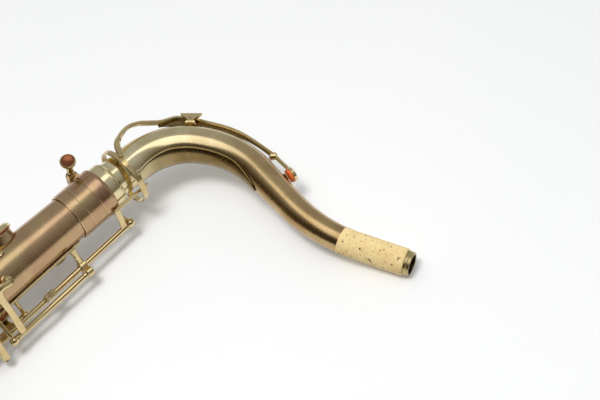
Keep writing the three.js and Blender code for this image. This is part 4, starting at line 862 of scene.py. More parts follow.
def build_neck():
    tube = pipe(NECK_LINE, neck_radius, NECK.wall, 0, NECK_LINE.reach, 110, 72)
    Part("neck_tube", "neck").add("gold", tube).build()
    socket, top = NECK.base_radius + GAP, GAP + TENON.length
    inner, collar = TENON.radius - TENON.wall, TENON.collar
    profile = [(GAP - BODY.top, inner), (GAP - BODY.top, TENON.radius - 0.4),
               (GAP - BODY.top + 0.4, TENON.radius), (GAP, TENON.radius), (GAP, collar - 0.3),
               (GAP + 0.3, collar), (top - 2.9, collar), (top - 2.6, collar - 0.35),
               (top - 2.3, collar - 0.3), (top - 2.1, collar - 0.05), (top - 1.2, collar - 0.15),
               (top, collar - 1.3), (top, socket), (NECK.base - GAP, socket), (NECK.base - GAP, inner),
               (GAP - BODY.top, inner)]
    Part("neck_tenon", "neck").add("gold", turned(profile, 80)).build(sharp=35)
    build_cork()
    build_brace()
    point, out, _, _ = on_neck(PIP.along, 0, GAP)
    bore, foot, radius = PIP.bore, PIP.foot, PIP.radius
    profile = [(0, bore), (0, foot), (0.5, foot - 0.1), (1, radius + 0.4), (1.5, radius),
               (PIP.height - 0.2, radius - 0.2), (PIP.height, radius - 0.5), (PIP.height, bore), (0, bore)]
    Part("neck_pip", "neck").brass(standing(profile, point, out, 32)).build()


def build_cork():
    end = NECK_LINE.reach - TIP.length
    start = end - CORK.length

    def outside(distance):
        edge = min(distance - start, end - GAP - distance, CORK.edge)
        return CORK.radius - CORK.round * (1 - edge / CORK.edge) ** 2
    rows = [start + share * (end - GAP - start) for share in (0, 0.004, 0.01, 0.018, 0.03)]
    rows += [start + (end - GAP - start) * i / 24 for i in range(1, 24)]
    rows += [end - GAP - 1.2, end - GAP - 0.6, end - GAP]
    outer, inner = [], []
    for distance in sorted(rows):
        here, ahead, across = NECK_LINE.at(distance)
        third = ahead.cross(across)
        ways = [across * cos(a) + third * sin(a) for a in angles(72)]
        outer.append([here + way * outside(distance) for way in ways])
        inner.append([here + way * (neck_radius(distance) + GAP) for way in ways])
    Part("neck_cork", "neck").add("cork", skin(outer + inner[::-1], True)).build()
    tip_in, tip_out = neck_radius(NECK_LINE.reach) + GAP, TIP.radius
    here, ahead, _ = NECK_LINE.at(end)
    length = TIP.length
    profile = [(0, tip_in), (0, tip_out - 0.4), (0.4, tip_out), (1.5, tip_out), (1.9, tip_out - 0.35),
               (length - 0.9, tip_out - 0.3), (length - 0.25, tip_out - 0.5), (length, tip_out - 0.75),
               (length, tip_in), (0, tip_in)]
    Part("neck_tip", "neck").add("tip", standing(profile, here, ahead, 64)).build()


def build_brace():
    """The broad stiffening plate inside the bend, from its round foot to its point; its dark brown finish is
    painted reflection and shade
    """
    rows = []
    count = 48
    for i in range(count + 1):
        distance = BRACE.start + (BRACE.end - BRACE.start) * i / count
        swell = min((distance - BRACE.start) / BRACE.swell, 1)
        point = min((BRACE.end - distance) / BRACE.point, 1)
        full = BRACE.start_spread + (BRACE.spread - BRACE.start_spread) * swell
        spread = BRACE.point_spread + (full - BRACE.point_spread) * sqrt(point)
        under, over = GAP, GAP + BRACE.thickness * (0.35 + 0.3 * swell * sqrt(point))
        soft = min(0.5 / neck_radius(distance) * 57, spread / 3)
        upper = [(-1 + 2 * k / 12) * (spread - soft) for k in range(13)]
        ring = [on_neck(distance, 180 + roll, over)[0] for roll in upper]
        ring += [on_neck(distance, 180 + spread, over - 0.5)[0], on_neck(distance, 180 + spread, under)[0]]
        ring += [on_neck(distance, 180 + roll, under)[0] for roll in upper[::-1]]
        ring += [on_neck(distance, 180 - spread, under)[0], on_neck(distance, 180 - spread, over - 0.5)[0]]
        rows.append(ring)
    Part("neck_brace", "neck").add("brace", skin(rows)).build(sharp=50)


def build_saddle():
    """The cradle of the octave key: a soldered foot and two ears with a pivot screw"""
    point, out, ahead, side = on_neck(SADDLE.along, 0, GAP)
    base = axes_at(point, out, ahead)
    part = Part("neck_saddle", "neck")
    part.brass(plate(oval(SADDLE.length, SADDLE.width, 3.2), base, SADDLE.thickness, 0.2, 0.4))
    pivot = on_neck(SADDLE.along, 0, SADDLE.height)[0]
    half = SADDLE.ear_width + GAP
    low, waist, top = GAP + SADDLE.thickness / 2 - SADDLE.height, EAR.waist, EAR.top
    outline = [(EAR.flare, top), (-EAR.flare, top), (-EAR.flare + 0.5, top - 1.2), (-waist, EAR.waist_drop),
               (-EAR.foot, low), (EAR.foot, low), (waist, EAR.waist_drop), (EAR.flare - 0.5, top - 1.2)]
    for way in (-1, 1):
        inner, outer = pivot + side * way * half, pivot + side * way * (half + SADDLE.ear)
        part.brass(plate(outline, axes_at(inner, side * way, out), SADDLE.ear, 0, 0.35, 2))
        part.brass(rod(outer, outer + side * way * 0.3, 1.5, 20, 0.1))
    part.build(sharp=30)


def neck_hinge():
    pivot, _, _, side = on_neck(SADDLE.along, 0, SADDLE.height)
    return pivot - side * SADDLE.ear_width, pivot + side * SADDLE.ear_width


def build_neck_key():
    """Flat loop round the collar, a strap that narrows over the bend, and the long arm to the pad"""
    lower, upper = neck_hinge()
    part = Part("neck_octave_key", "neck_octave_key")
    part.brass(rod(lower, upper, HINGE.radius, 28, 0.3))
    centre = radial(LOOP.offset_turn) * LOOP.offset + UP * LOOP.rise
    middle, half = LOOP.radius, LOOP.thickness / 2
    edge, soft = LOOP.width / 2, 0.4
    profile = [(-edge, middle - half + soft), (-edge, middle + half - soft), (-edge + soft, middle + half),
               (edge - soft, middle + half), (edge, middle + half - soft), (edge, middle - half + soft),
               (edge - soft, middle - half), (-edge + soft, middle - half), (-edge, middle - half + soft)]
    part.brass(turned(profile, 96, Matrix.Translation(centre)))
    joint = centre + UP * (edge - 0.5) + radial(LOOP.strap_turn) * middle
    over = SADDLE.height + HINGE.radius - 0.2
    spots = [on_neck(*station) for station in [(SADDLE.along, 0, over), *STRAP_LINE]]
    line, ways = [spot[0] for spot in spots], [spot[1] for spot in spots]
    part.brass(sweep(line + [joint], ways + [radial(LOOP.strap_turn)], STRAP_WIDTHS, STRAP.thickness, 0.3, 6))
    pad_height = OCTAVE_PAD.thickness + OCTAVE_PAD.cup
    reach = [(0, over), (LONG_ARM.bend_share, LONG_ARM.bend_height),
             (LONG_ARM.end_share, LONG_ARM.end_height), (1, PIP.height + pad_height)]
    spots = [on_neck(end_along(share), 0, height) for share, height in reach]
    line, ways = [spot[0] for spot in spots], [spot[1] for spot in spots]
    part.brass(sweep(line[:3], ways[:3], LONG_ARM.widths, LONG_ARM.thickness, 0.3, 12),
               sweep(line[2:], ways[2:], LONG_ARM.tip_widths, LONG_ARM.thickness, 0.25))
    end, way, ahead, _ = spots[2]
    lean = way * cos(radians(STUB.lean)) + ahead * sin(radians(STUB.lean))
    part.brass(rod(end - lean * STUB.below, end + lean * STUB.above, STUB.radius, 28, 1.0))
    # The webs take the dark brace finish: painted shade on the arm's underside and in the gap below it
    part.add("brace", neck_web(STRAP.crest, SADDLE.along - 1, 5.4, 1.4))
    part.add("brace", neck_web(SADDLE.along + 1, end_along(LONG_ARM.end_share), 1.2, 2.8))
    part.brass(rod(lower, upper, SADDLE.ear_width * 0.7, 32, 0.5))
    point, out, _, _ = on_neck(PIP.along, 0, 2 * GAP + PIP.height)
    radius, pad = OCTAVE_PAD.radius, OCTAVE_PAD.thickness
    disc = [(0, 0), (0, radius - 0.9), (0.3, radius - 0.45), (0.9, radius - 0.2), (pad, radius - 0.3),
            (pad, 0)]
    cup = [(pad - 0.4, 0), (pad - 0.4, radius - 0.3), (pad - 0.1, radius), (pad + 1.7, radius),
           (pad + 2.1, radius - 0.4), (pad_height, radius - 1.6), (pad_height, 0)]
    part.add("leather", standing(disc, point, out, 36)).brass(standing(cup, point, out, 36))
    part.build()


def end_along(share):
    return SADDLE.along + share * (PIP.along - SADDLE.along)


def arm_height(along):
    """Height of the octave key's middle over the neck"""
    over = SADDLE.height + HINGE.radius - 0.2
    marks = [(STRAP.crest, STRAP.height), (SADDLE.along, over),
             (end_along(LONG_ARM.bend_share), LONG_ARM.bend_height),
             (end_along(LONG_ARM.end_share), LONG_ARM.end_height)]
    for (a, low), (b, high) in zip(marks, marks[1:]):
        if along <= b:
            return low + (high - low) * (along - a) / (b - a)
    return marks[-1][1]


def neck_web(start, end, first_gap, last_gap):
    """The stiffening web under an arm of the octave key"""
    rings = []
    for i in range(13):
        share = i / 12
        along = start + (end - start) * share
        low, high = first_gap + (last_gap - first_gap) * share, arm_height(along)
        foot, _, _, side = on_neck(along, 0, min(low, high - 0.4))
        head = on_neck(along, 0, high)[0]
        half = side * WEB / 2
        rings.append([foot - half, foot + half, head + half, head - half])
    return skin(rings)


# Key work


def softened_block(low, high, edge):
    """A block whose corners are cut back by a chamfer"""
    (x0, y0, z0), (x1, y1, z1) = low, high
    rings = []
    for x, inset in ((x0, edge), (x0 + edge, 0), (x1 - edge, 0), (x1, edge)):
        a, b, c, d = y0 + inset, y1 - inset, z0 + inset, z1 - inset
        cut = edge * 0.6
        outline = [(a + cut, c), (b - cut, c), (b, c + cut), (b, d - cut), (b - cut, d), (a + cut, d),
                   (a, d - cut), (a, c + cut)]
        rings.append([Vector((x, *corner)) for corner in outline])
    return skin(rings)


def box_shape(low, high):
    (x0, y0, z0), (x1, y1, z1) = low, high
    return skin([[Vector((x, y, z)) for y, z in ((y0, z0), (y1, z0), (y1, z1), (y0, z1))] for x in (x0, x1)])


def line_at(name, drop):
    turn, height = LINES[name][:2]
    return on_body(drop, turn, height)


def arm_drops(name):
    key = KEYS[name]
    drops = [BODY_HOLES[key["hole"]][0] + key.get("elbow", 0)]
    if "touch" in key or "paddle" in key:
        drops.append(key.get("touch", key.get("paddle"))[0])
    return drops


def share_line(name):
    """Each key's stretch of its hinge line, and where the posts stand"""
    keys = LINES[name][3]
    reaches = [arm_drops(key) for key in keys]
    half = HINGE.post_length / 2
    first, last = min(reaches[0]) - HINGE.end, max(reaches[-1]) + HINGE.end
    posts = [first - GAP - half, last + GAP + half]
    tubes, upper = {}, first
    for i, key in enumerate(keys):
        following = reaches[i + 1] if i + 1 < len(keys) else None
        boundary = (max(reaches[i]) + min(following)) / 2 if following else last
        stands = bool(following and KEYS[key].get("post"))
        room = (half + GAP if stands else GAP / 2) if following else 0
        tubes[key] = (upper, boundary - room)
        if stands:
            posts.append(boundary)
        upper = boundary + room
    return tubes, posts


def post_drops(top, bottom):
    """Where the two posts of a hinge line stand, past the ends of its tube"""
    out = GAP + HINGE.post_length / 2
    return top - out, bottom + out


def nearest(carrier, spot):
    """The middle of a tube at its nearest to a spot, and the tube's radius there"""
    if carrier == "body":
        return Vector((spot.x, 0, 0)), body_radius(-spot.x)
    if carrier == "bell":
        up = (spot - BELL_FOOT).dot(BELL_AXIS)
        return BELL_FOOT + BELL_AXIS * up, bell_radius(up)
    centre = Vector((BOW_LINE.start.x - BOW.straight, BOW.bend, 0))
    way = spot - centre
    way.z = 0
    if way.x <= 0:
        angle = max(atan2(-way.x, -way.y), 0)
        return centre + way.normalized() * BOW.bend, bow_radius(BOW.straight + angle * BOW.bend)
    if way.y < 0:
        return Vector((spot.x, 0, 0)), bow_radius(BOW.straight)
    return Vector((spot.x, 2 * BOW.bend, 0)), bow_radius(BOW.straight + pi * BOW.bend)


def body_post(drop, foot_turn, turn, height, base=0):
    return post(on_body(drop, foot_turn, base), on_body(drop, turn, height))


def away(key, drop):
    return Vector((-drop, key["front"], key["left"]))


def stand_posts(key, carrier):
    """The upper and lower post of a low key, on the surface straight behind the hinge line"""
    made = []
    for head in (away(key, drop) for drop in post_drops(key["upper"], key["lower"])):
        axis, radius = nearest(carrier, head)
        made.append(post(axis + (head - axis).normalized() * (radius - 0.2), head))
    return made


def hinge_tube(lower, upper):
    """A hinge tube with a fine collar at each end"""
    axis = (upper - lower).normalized()
    length = (upper - lower).length
    radius = HINGE.radius
    collar = min(1.6, length / 4)
    profile = [(0, 0), (0, radius - 0.15), (0.2, radius + 0.12), (collar, radius + 0.12),
               (collar + 0.25, radius - 0.08), (length - collar - 0.25, radius - 0.08),
               (length - collar, radius + 0.12), (length - 0.2, radius + 0.12), (length, radius - 0.15),
               (length, 0)]
    return standing(profile, lower, axis, 28)


def cup_pieces(place):
    """A stamped cup with its rolled skirt and raised centre, and the leather pad inside it"""
    point, out, _, height, hole = place
    radius = hole + CHIMNEY.wall + CUP.margin
    foot = point + out * (height + GAP)
    stand, wall, dome = CUP.stand, CUP.wall, CUP.dome
    top = stand + wall
    cup = [(stand * 0.7, radius - 1.4), (stand * 0.7, radius - 0.35), (stand, radius), (stand + 0.5, radius),
           (stand + 0.8, radius - 0.3), (top - 0.9, radius - 0.45), (top - 0.3, radius - 0.8),
           (top, radius - 1.5), (top + dome * 0.45, radius * 0.80), (top + dome * 0.5, radius * 0.62),
           (top + dome * 0.42, radius * 0.58), (top + dome * 0.8, radius * 0.34), (top + dome, 0)]
    cup = [(stand * 0.7, 0)] + cup
    inner = radius - CUP.inset
    pad = [(0, 0), (0, inner - 1.0), (0.25, inner - 0.35), (0.8, inner), (stand + 0.4, inner),
           (stand + 0.4, 0)]
    resonator = [(-0.12, 0), (-0.12, hole * 0.42), (0.05, hole * 0.48), (0.3, hole * 0.48), (0.3, 0)]
    return standing(cup, foot, out, 64), standing(pad, foot, out, 64), standing(resonator, foot, out, 40)


def cup_top(place):
    point, out, _, height, _ = place
    return point + out * (height + GAP + CUP.stand + CUP.wall + CUP.dome + ARM.thickness / 2 - ARM.sink)


def cup_arm(pivot, place):
    """An arm that arches from its hinge tube on to the cup and ends in a round foot"""
    top, out = cup_top(place), place[1]
    across = top - pivot
    flat = across - out * across.dot(out)
    far = top + flat.normalized() * place[4] * 0.35
    lift = out * 0.5
    low = pivot + flat.normalized() * 0.8
    rise = pivot.lerp(top, 0.45) + out * max(across.dot(out) * 0.2, 0) + lift
    arm = sweep([low, rise, top + lift * 0.4, far], [out], [5.6, 4.4, 4.2, 3.0], ARM.thickness * 0.9, 0.3, 8)
    button = standing([(0, 0), (0, 3.4), (0.6, 3.4), (1.2, 2.6), (1.6, 1.0), (1.7, 0)], top + out * 0.5, out,
                      28)
    return arm, button


def add_key(part, place, pivot):
    cup, pad, resonator = cup_pieces(place)
    part.brass(cup, *cup_arm(pivot, place)).add("leather", pad).brass(resonator)
    return part


def touch_arm(root, spot, way, style):
    """An arm that arches from its hinge line to a touch"""
    arm = TOUCH_ARMS[style]
    line = [root, root.lerp(spot, arm.share) + way * arm.lift, spot + way * arm.seat]
    return sweep(line, [way], arm.widths, arm.thickness, arm.crown, arm.steps)


def pearl_touch(point, out, radius):
    """A brass ring with a dished pearl let into it"""
    ring = [(0, 0), (0, radius - 0.8), (0.6, radius), (1.9, radius), (2.5, radius - 0.5), (2.5, radius - 1.3),
            (1.4, radius - 1.3), (1.4, 0)]
    pearl = [(1.4, 0), (1.4, radius - 1.4), (2.6, radius - 1.4), (2.95, radius - 2.0),
             (2.6, radius * 0.45), (2.45, 0)]
    return standing(ring, point, out, 48), standing(pearl, point, out, 48)


def build_line_keys():
    for name, (turn, _, _, keys) in LINES.items():
        tubes, _ = share_line(name)
        for key_name in keys:
            key = KEYS[key_name]
            place = body_place(key["hole"])
            hole_drop, hole_turn, _ = BODY_HOLES[key["hole"]]
            upper, lower = (line_at(name, drop) for drop in tubes[key_name])
            opening = key["open"] * copysign(1, turn - hole_turn)
            swing = swing_about(lower, upper, opening) if key.get("stands") else None
            part = Part(key_name, key_name, swing)
            cup, pad, resonator = cup_pieces(place)
            part.brass(hinge_tube(lower, upper), cup).add("leather", pad).brass(resonator)
            if "elbow" in key:
                top = cup_top(place)
                elbow, root = top - UP * key["elbow"], line_at(name, hole_drop + key["elbow"])
                line = [top + UP * 3, top - UP * key["elbow"] * 0.55, root.lerp(elbow, 0.75), root]
                part.brass(sweep(line, [place[1]], [3.2, 4.6, 4.6, 5.2], ARM.thickness * 0.9))
            else:
                part.brass(*cup_arm(line_at(name, hole_drop), place))
            if "touch" in key:
                drop, touch_turn, height, radius = key["touch"]
                spot, way = on_body(drop, touch_turn, height), radial(touch_turn)
                ring, pearl = pearl_touch(spot, way, radius)
                part.brass(ring, touch_arm(line_at(name, drop), spot, way, "pearl")).add("pearl", pearl)
            if "paddle" in key:
                drop, touch_turn, height, long, wide = key["paddle"]
                spot, way = on_body(drop, touch_turn, height), radial(touch_turn)
                part.brass(plate(oval(long, wide, 2.5), axes_at(spot, way, UP), PADDLE),
                           touch_arm(line_at(name, drop), spot, way, "paddle"))
            part.build()


def build_rib(node, name):
    """A flat rib along the body with its row of ball posts"""
    _, posts = share_line(name)
    turn, height, foot_turn, _ = LINES[name]
    base = GAP + RIB.thickness / 2
    start, end = min(posts) - RIB.end, max(posts) + RIB.end
    spots = [on_body(start + (end - start) * i / 4, foot_turn, base) for i in range(5)]
    widths = [RIB.tip] + [RIB.width] * 7 + [RIB.tip]
    part = Part(node).brass(sweep(spots, [radial(foot_turn)], widths, RIB.thickness, RIB.crown, 6))
    for drop in posts:
        part.brass(body_post(drop, foot_turn, turn, height, base))
    part.build()


# Octave mechanism


def riser_at(drop):
    return on_body(drop, RISER.turn, RISER.height)


def vent_at(drop):
    return on_body(drop, VENT_KEY.turn, VENT_KEY.height)


def build_octave():
    base = GAP + RIB.thickness / 2
    half = HINGE.post_length / 2

    def foot(drop):
        return on_body(drop, OCTAVE_RIB.turn, base)
    spots = [foot(OCTAVE_RIB.top + (OCTAVE_RIB.bottom - OCTAVE_RIB.top) * i / 3) for i in range(4)]
    part = Part("octave_rib")
    widths = [RIB.tip] + [RIB.width] * 5 + [RIB.tip]
    part.brass(sweep(spots, [radial(OCTAVE_RIB.turn)], widths, RIB.thickness, RIB.crown, 6))
    bearing = VENT_KEY.top - GAP - half
    centre, radius = riser_at(bearing), OCTAVE_RIB.bearing
    inner = HINGE.radius + GAP
    ring = [(-half, inner), (-half, radius - 0.5), (-half + 0.5, radius), (half - 0.5, radius),
            (half, radius - 0.5), (half, inner), (-half, inner)]
    part.brass(turned(ring, 40, axes_at(centre, UP, LEFT)))
    part.brass(rod(vent_at(bearing) - UP * half, vent_at(bearing) + UP * half, HINGE.post_radius, 32, 0.5))
    way = (centre - foot(bearing)).normalized()
    part.brass(sweep([foot(bearing), foot(bearing).lerp(centre - way * radius, 0.5),
                      centre - way * (radius - 0.6)], [UP.cross(way)], [5.2, 3.6, 4.2], 3.6, 0, 6))
    for head, drop in ((vent_at, VENT_KEY.bottom), (riser_at, RISER.bottom)):
        part.brass(post(foot(drop + GAP + half), head(drop + GAP + half)))
    part.build()
    build_riser()
    build_vent_key()
    build_thumb_lever()


def build_riser():
    lower, upper = riser_at(RISER.bottom), riser_at(RISER.top)
    part = Part("octave_riser", "octave_riser")
    part.brass(hinge_tube(lower, upper))
    crank = riser_at(RISER_PIN.drop)
    end = radial(RISER_PIN.turn) * RISER_PIN.reach
    end.x = crank.x
    normal = radial(RISER_PIN.crank_turn)
    part.brass(sweep([crank, crank.lerp(end, 0.5), end], [normal], [5.2, 3.8, 4.4], RISER_PIN.crank, 0.3, 5))
    top = end.copy()
    top.x = RISER_PIN.top
    part.brass(rod(end - UP * ARM.width / 2, top, RISER_PIN.radius, 24, 0.5))
    tail = on_body(RISER.tail_drop, RISER.tail_turn, RISER.tail_height)
    root = riser_at(RISER.tail_drop)
    part.brass(sweep([root, tail], [radial(RISER.turn)], [4.8, 4.2], ARM.thickness, steps=4))
    face = radial(BLOCK.face_turn)
    centre = riser_at(BLOCK.drop) + face * BLOCK.shift
    corner = Vector((BLOCK.length, BLOCK.width, BLOCK.depth)) / 2
    block = softened_block(-corner, corner, 0.7)
    part.brass(block.moved(axes_at(centre, UP, face)))
    screw = centre + face * (BLOCK.depth / 2)
    part.add("bronze", standing([(-0.4, 0), (-0.4, 2), (0.3, 2), (0.6, 1.7), (0.65, 0)], screw, face, 28))
    part.build()


def build_vent_key():
    part = Part("body_octave_key", "body_octave_key")
    part.brass(hinge_tube(vent_at(VENT_KEY.bottom), vent_at(VENT_KEY.top)))
    out = radial(VENT.turn)
    seat = on_body(VENT.drop, VENT.turn, VENT.height + GAP)
    end, over = (on_body(drop, VENT.turn, VENT_KEY.end_height) for drop in (VENT_KEY.arm_drop, VENT.drop))
    root = vent_at(VENT_KEY.arm_drop)
    part.brass(sweep([root, root.lerp(end, 0.5) + out * 0.5, end, over], [out], [5.2, 4.2, 4.6, 4.0],
                     ARM.thickness * 0.9))
    length = VENT_KEY.end_height - VENT.height - GAP
    radius = VENT_KEY.cup
    pad = [(0, 0), (0, radius - 0.7), (0.3, radius - 0.3), (1.4, radius - 0.3), (1.4, 0)]
    cup = [(1.2, 0), (1.2, radius), (length * 0.45, radius), (length * 0.6, radius * 0.9),
           (length * 0.75, radius * 0.55), (length, radius * 0.5), (length, 0)]
    part.add("leather", standing(pad, seat, out, 32)).brass(standing(cup, seat, out, 32))
    part.build()


def build_thumb_lever():
    line = THUMB_LEVER
    lower, upper = (on_body(drop, line.turn, line.height) for drop in (line.bottom, line.top))
    part = Part("octave_thumb_lever", "octave_thumb_lever").brass(hinge_tube(lower, upper))
    out = radial(line.touch_turn)
    touch = on_body(line.touch_drop, line.touch_turn, line.touch_height)
    root = on_body(line.touch_drop, line.turn, line.height)
    part.brass(touch_arm(root, touch, out, "thumb"))
    part.brass(plate(oval(line.long, line.wide, 2.4), axes_at(touch, out, UP), PADDLE))
    tail = on_body(RISER.tail_drop, line.tail_turn, line.tail_height)
    root = on_body(RISER.tail_drop, line.turn, line.height)
    part.brass(sweep([root, tail], [radial(RISER.turn)], [4.8, 4.2], ARM.thickness, steps=4))
    part.build()


# Low keys, their levers and guards


def opened(key, place):
    """The way a low key turns to lift its cup"""
    top = cup_top(place)
    pivot = away(key, -top.x)
    return copysign(key["open"], UP.cross(top - pivot).dot(place[1]))


def low_part(name, key, place):
    lower, upper = away(key, key["lower"]), away(key, key["upper"])
    swing = swing_about(lower, upper, opened(key, place)) if key.get("stands") else None
    part = Part(name, name, swing).brass(hinge_tube(lower, upper))
    pivot = away(key, -cup_top(place).x)
    return add_key(part, place, pivot)


def spatula(root, spot, way, long, wide, style):
    """A flat touch for the little finger, with its arm"""
    touch = plate(oval(long, wide, 3.4), axes_at(spot, way, UP), PADDLE, edge=0.7)
    return touch, touch_arm(root, spot, way, style)


def build_low_keys():
    for name, key in BELL_KEYS.items():
        part = low_part(name, key, bell_place(key["hole"]))
        if name == "low_cs_key":
            drop, front, long, wide = SPATULAS[name]
            spot = Vector((-drop, front, TABLE.left))
            part.brass(*spatula(away(key, drop), spot, LEFT, long, wide, "table"))
        else:
            lever = f"{key['hole']}_lever"
            drop, front, long, wide = SPATULAS[lever]
            tail = Vector((-drop, *TAILS[name]))
            part.brass(sweep([away(key, drop), tail], [FRONT], [4.8, 4.4], ARM.thickness, steps=4))
            build_lever(lever, drop, front, long, wide)
        part.build()
    for name, key in BOW_KEYS.items():
        drop, front, out, long, wide = BOW_TOUCHES[name]
        spot = Vector((-drop, front, key["left"] - out))
        part = low_part(name, key, bow_place(key["hole"]))
        part.brass(*spatula(away(key, drop), spot, -LEFT, long, wide, "bow")).build()


def bar(start, end, normal):
    return sweep([start, end], [normal], [ARM.width], ARM.thickness, 0.35, 2)


def build_lever(name, drop, front, long, wide):
    middle, half = on_body(drop, TABLE.turn, TABLE.height), LINKAGE.tube / 2
    lower, upper = (on_body(at, TABLE.turn, TABLE.height) for at in (drop + half, drop - half))
    spot = Vector((-drop, front, TABLE.left))
    shoulder, end = Vector((-drop, *LINKAGE.shoulder)), Vector((-drop, *LINKAGE.end))
    part = Part(name, name).brass(hinge_tube(lower, upper), *spatula(middle, spot, LEFT, long, wide, "lever"))
    part.brass(bar(spot, shoulder, LEFT), bar(shoulder, end, FRONT)).build()


def build_guards():
    for hole, turns in GUARD_TURNS.items():
        place = bow_place(hole) if hole in BOW_HOLES else bell_place(hole)
        point, out, _, height, radius = place
        outer = radius + CHIMNEY.wall + CUP.margin + GUARD.clear
        seat = axes_at(point, out, UP)
        rise = CUP.stand + CUP.wall + CUP.dome + GAP
        top = height + rise + ARM.thickness + GUARD.room
        part = Part(f"{hole}_guard")
        for turn in turns:
            way = Vector((0, cos(radians(turn)), sin(radians(turn))))
            foot = guard_foot(hole, seat, way * outer)
            corner = seat @ (way * outer + UP * top)
            knee = seat @ (way * (outer - GUARD.knee) + UP * top)
            centre = seat @ (way * (GUARD.plate - 3) + UP * top)
            lean = seat.to_3x3() @ way
            drop = (corner - foot).normalized()
            part.brass(rod(foot - drop * 0.2, corner + out * (GUARD.thickness / 2 - 0.3), GUARD.leg, 28, 0.4))
            part.brass(standing(GUARD_SHOE, foot, drop, 28))
            part.brass(sweep([corner + lean * 1.6, knee, centre], [out], GUARD.widths, GUARD.thickness))
        flat = axes_at(seat @ (UP * (top - GUARD.thickness / 2)), out, UP)
        part.brass(plate(oval(2 * GUARD.plate, 2 * GUARD.plate), flat, GUARD.thickness, 0.5, 0.6))
        felt = seat @ (UP * (top - GUARD.thickness / 2 + 0.1))
        part.add("felt", standing(GUARD_FELT, felt, -out, 36))
        part.build()


def guard_foot(hole, seat, local):
    """Where a guard's leg meets the tube, stepping down the leg until it does"""
    start, step = 8, 0.1
    for i in range(400):
        spot = seat @ (local + UP * (start - i * step))
        axis, radius = nearest("bow" if hole in BOW_HOLES else "bell", spot)
        if (spot - axis).length < radius + GAP:
            return spot
    return seat @ local


def build_bell_brace():
    centre = Vector((-BELL_BRACE.drop, BELL_BRACE.front, BELL_BRACE.left))
    radius, width = BELL_BRACE.radius, BELL_BRACE.width
    half = width / 2
    profile = [(-half, radius - width + 0.6), (-half + 0.6, radius - width), (half - 0.6, radius - width),
               (half, radius - width + 0.6), (half, radius - 0.8), (half - 0.8, radius),
               (-half + 0.8, radius), (-half, radius - 0.8), (-half, radius - width + 0.6)]
    part = Part("bell_brace").brass(standing(profile, centre, LEFT, 72))
    body_out = radial(BELL_BRACE.body_turn)
    body_foot = on_body(BELL_BRACE.drop, BELL_BRACE.body_turn, GAP)
    up = (centre - BELL_FOOT).dot(BELL_AXIS)
    side = BELL_FOOT + BELL_AXIS * up
    bell_out = Vector((0, BELL_BRACE.front - side.y, BELL_BRACE.left)).normalized()
    bell_foot = side + bell_out * (bell_radius((side - BELL_FOOT).length) + GAP)
    for foot, out, way in ((body_foot, body_out, -1), (bell_foot, bell_out, 1)):
        height, wide = BELL_BRACE.foot_height, BELL_BRACE.foot
        shoe = [(0, 0), (0, wide), (0.5, wide), (height, wide - 0.8), (height + 0.6, 3.4),
                (height + 2.2, 2.4), (height + 2.2, 0)]
        part.brass(standing(shoe, foot, out, 40))
        end = centre + FRONT * way * (radius - width / 2)
        part.brass(rod(foot + out * height, end, BELL_BRACE.strut, 28, 0.3))
    part.build()


# Fittings on the back


def back_plate(drop, long, wide, thickness):
    spot = on_body(drop, 180, GAP)
    ahead = on_body(drop - 1, 180, GAP) - spot
    return plate(oval(long, wide, 3.2), axes_at(spot, radial(180), ahead), thickness, 0.2, 0.5)


def build_fittings():
    drop, long, wide, thick = STRAP_RING.drop, STRAP_RING.long, STRAP_RING.wide, STRAP_RING.plate
    back = radial(180)
    eye = on_body(drop, 180, GAP + thick + STRAP_RING.radius - STRAP_RING.sink)
    outer, inner, half = STRAP_RING.radius, STRAP_RING.hole, STRAP_RING.width / 2
    middle, tube = (outer + inner) / 2, (outer - inner) / 2
    profile = [(half * sin(a), middle - tube * cos(a)) for a in angles(20)]
    profile = profile + profile[:1]
    part = Part("strap_ring").brass(back_plate(drop, long, wide, thick), standing(profile, eye, LEFT, 64))
    for way in (-1, 1):
        part.add("steel", screw_head(on_body(drop + way * (long / 2 - 3), 180, GAP + thick), back))
    part.build()
    rest = THUMB_REST
    spot = on_body(rest.drop, 180, GAP)
    socket = [(0, 0), (0, rest.radius), (1.2, rest.radius), (1.8, rest.radius - 0.6), (1.8, 0)]
    pearl = [(1.7, 0), (1.7, rest.radius - 1.0), (2.6, rest.radius - 1.3),
             (rest.height, rest.radius * rest.crown), (rest.height - 0.1, 0)]
    part = Part("thumb_rest").brass(standing(socket, spot, back, 56))
    part.add("pearl", standing(pearl, spot, back, 56)).build(sharp=50)
    hook = THUMB_HOOK
    foot = on_body(hook.drop, 180, GAP + hook.plate / 2)
    line = BentLine(foot, back, -UP, [(hook.rise, 0), (hook.bend, 90), (hook.tip, 0)])
    spots = [line.at(line.reach * share / 14)[0] for share in range(15)]
    ways = [LEFT.cross(line.at(line.reach * share / 14)[1]) for share in range(15)]
    widths = [hook.wide * share for share in (0.9, 0.8, 0.85, 1, 1, 0.75)]
    part = Part("thumb_hook").brass(back_plate(hook.drop, hook.long, hook.wide, hook.plate),
                                    sweep(spots, ways, widths, hook.plate, 0.15, 2))
    part.add("steel", screw_head(on_body(hook.drop - hook.long / 2 + 4, 180, GAP + hook.plate), back))
    part.build()


def screw_head(spot, out):
    """A flat screw head"""
    return standing([(0, 0), (0, 1.9), (0.7, 1.9), (0.9, 1.6), (0.9, 0)], spot, out, 28)


# Camera, floor and light

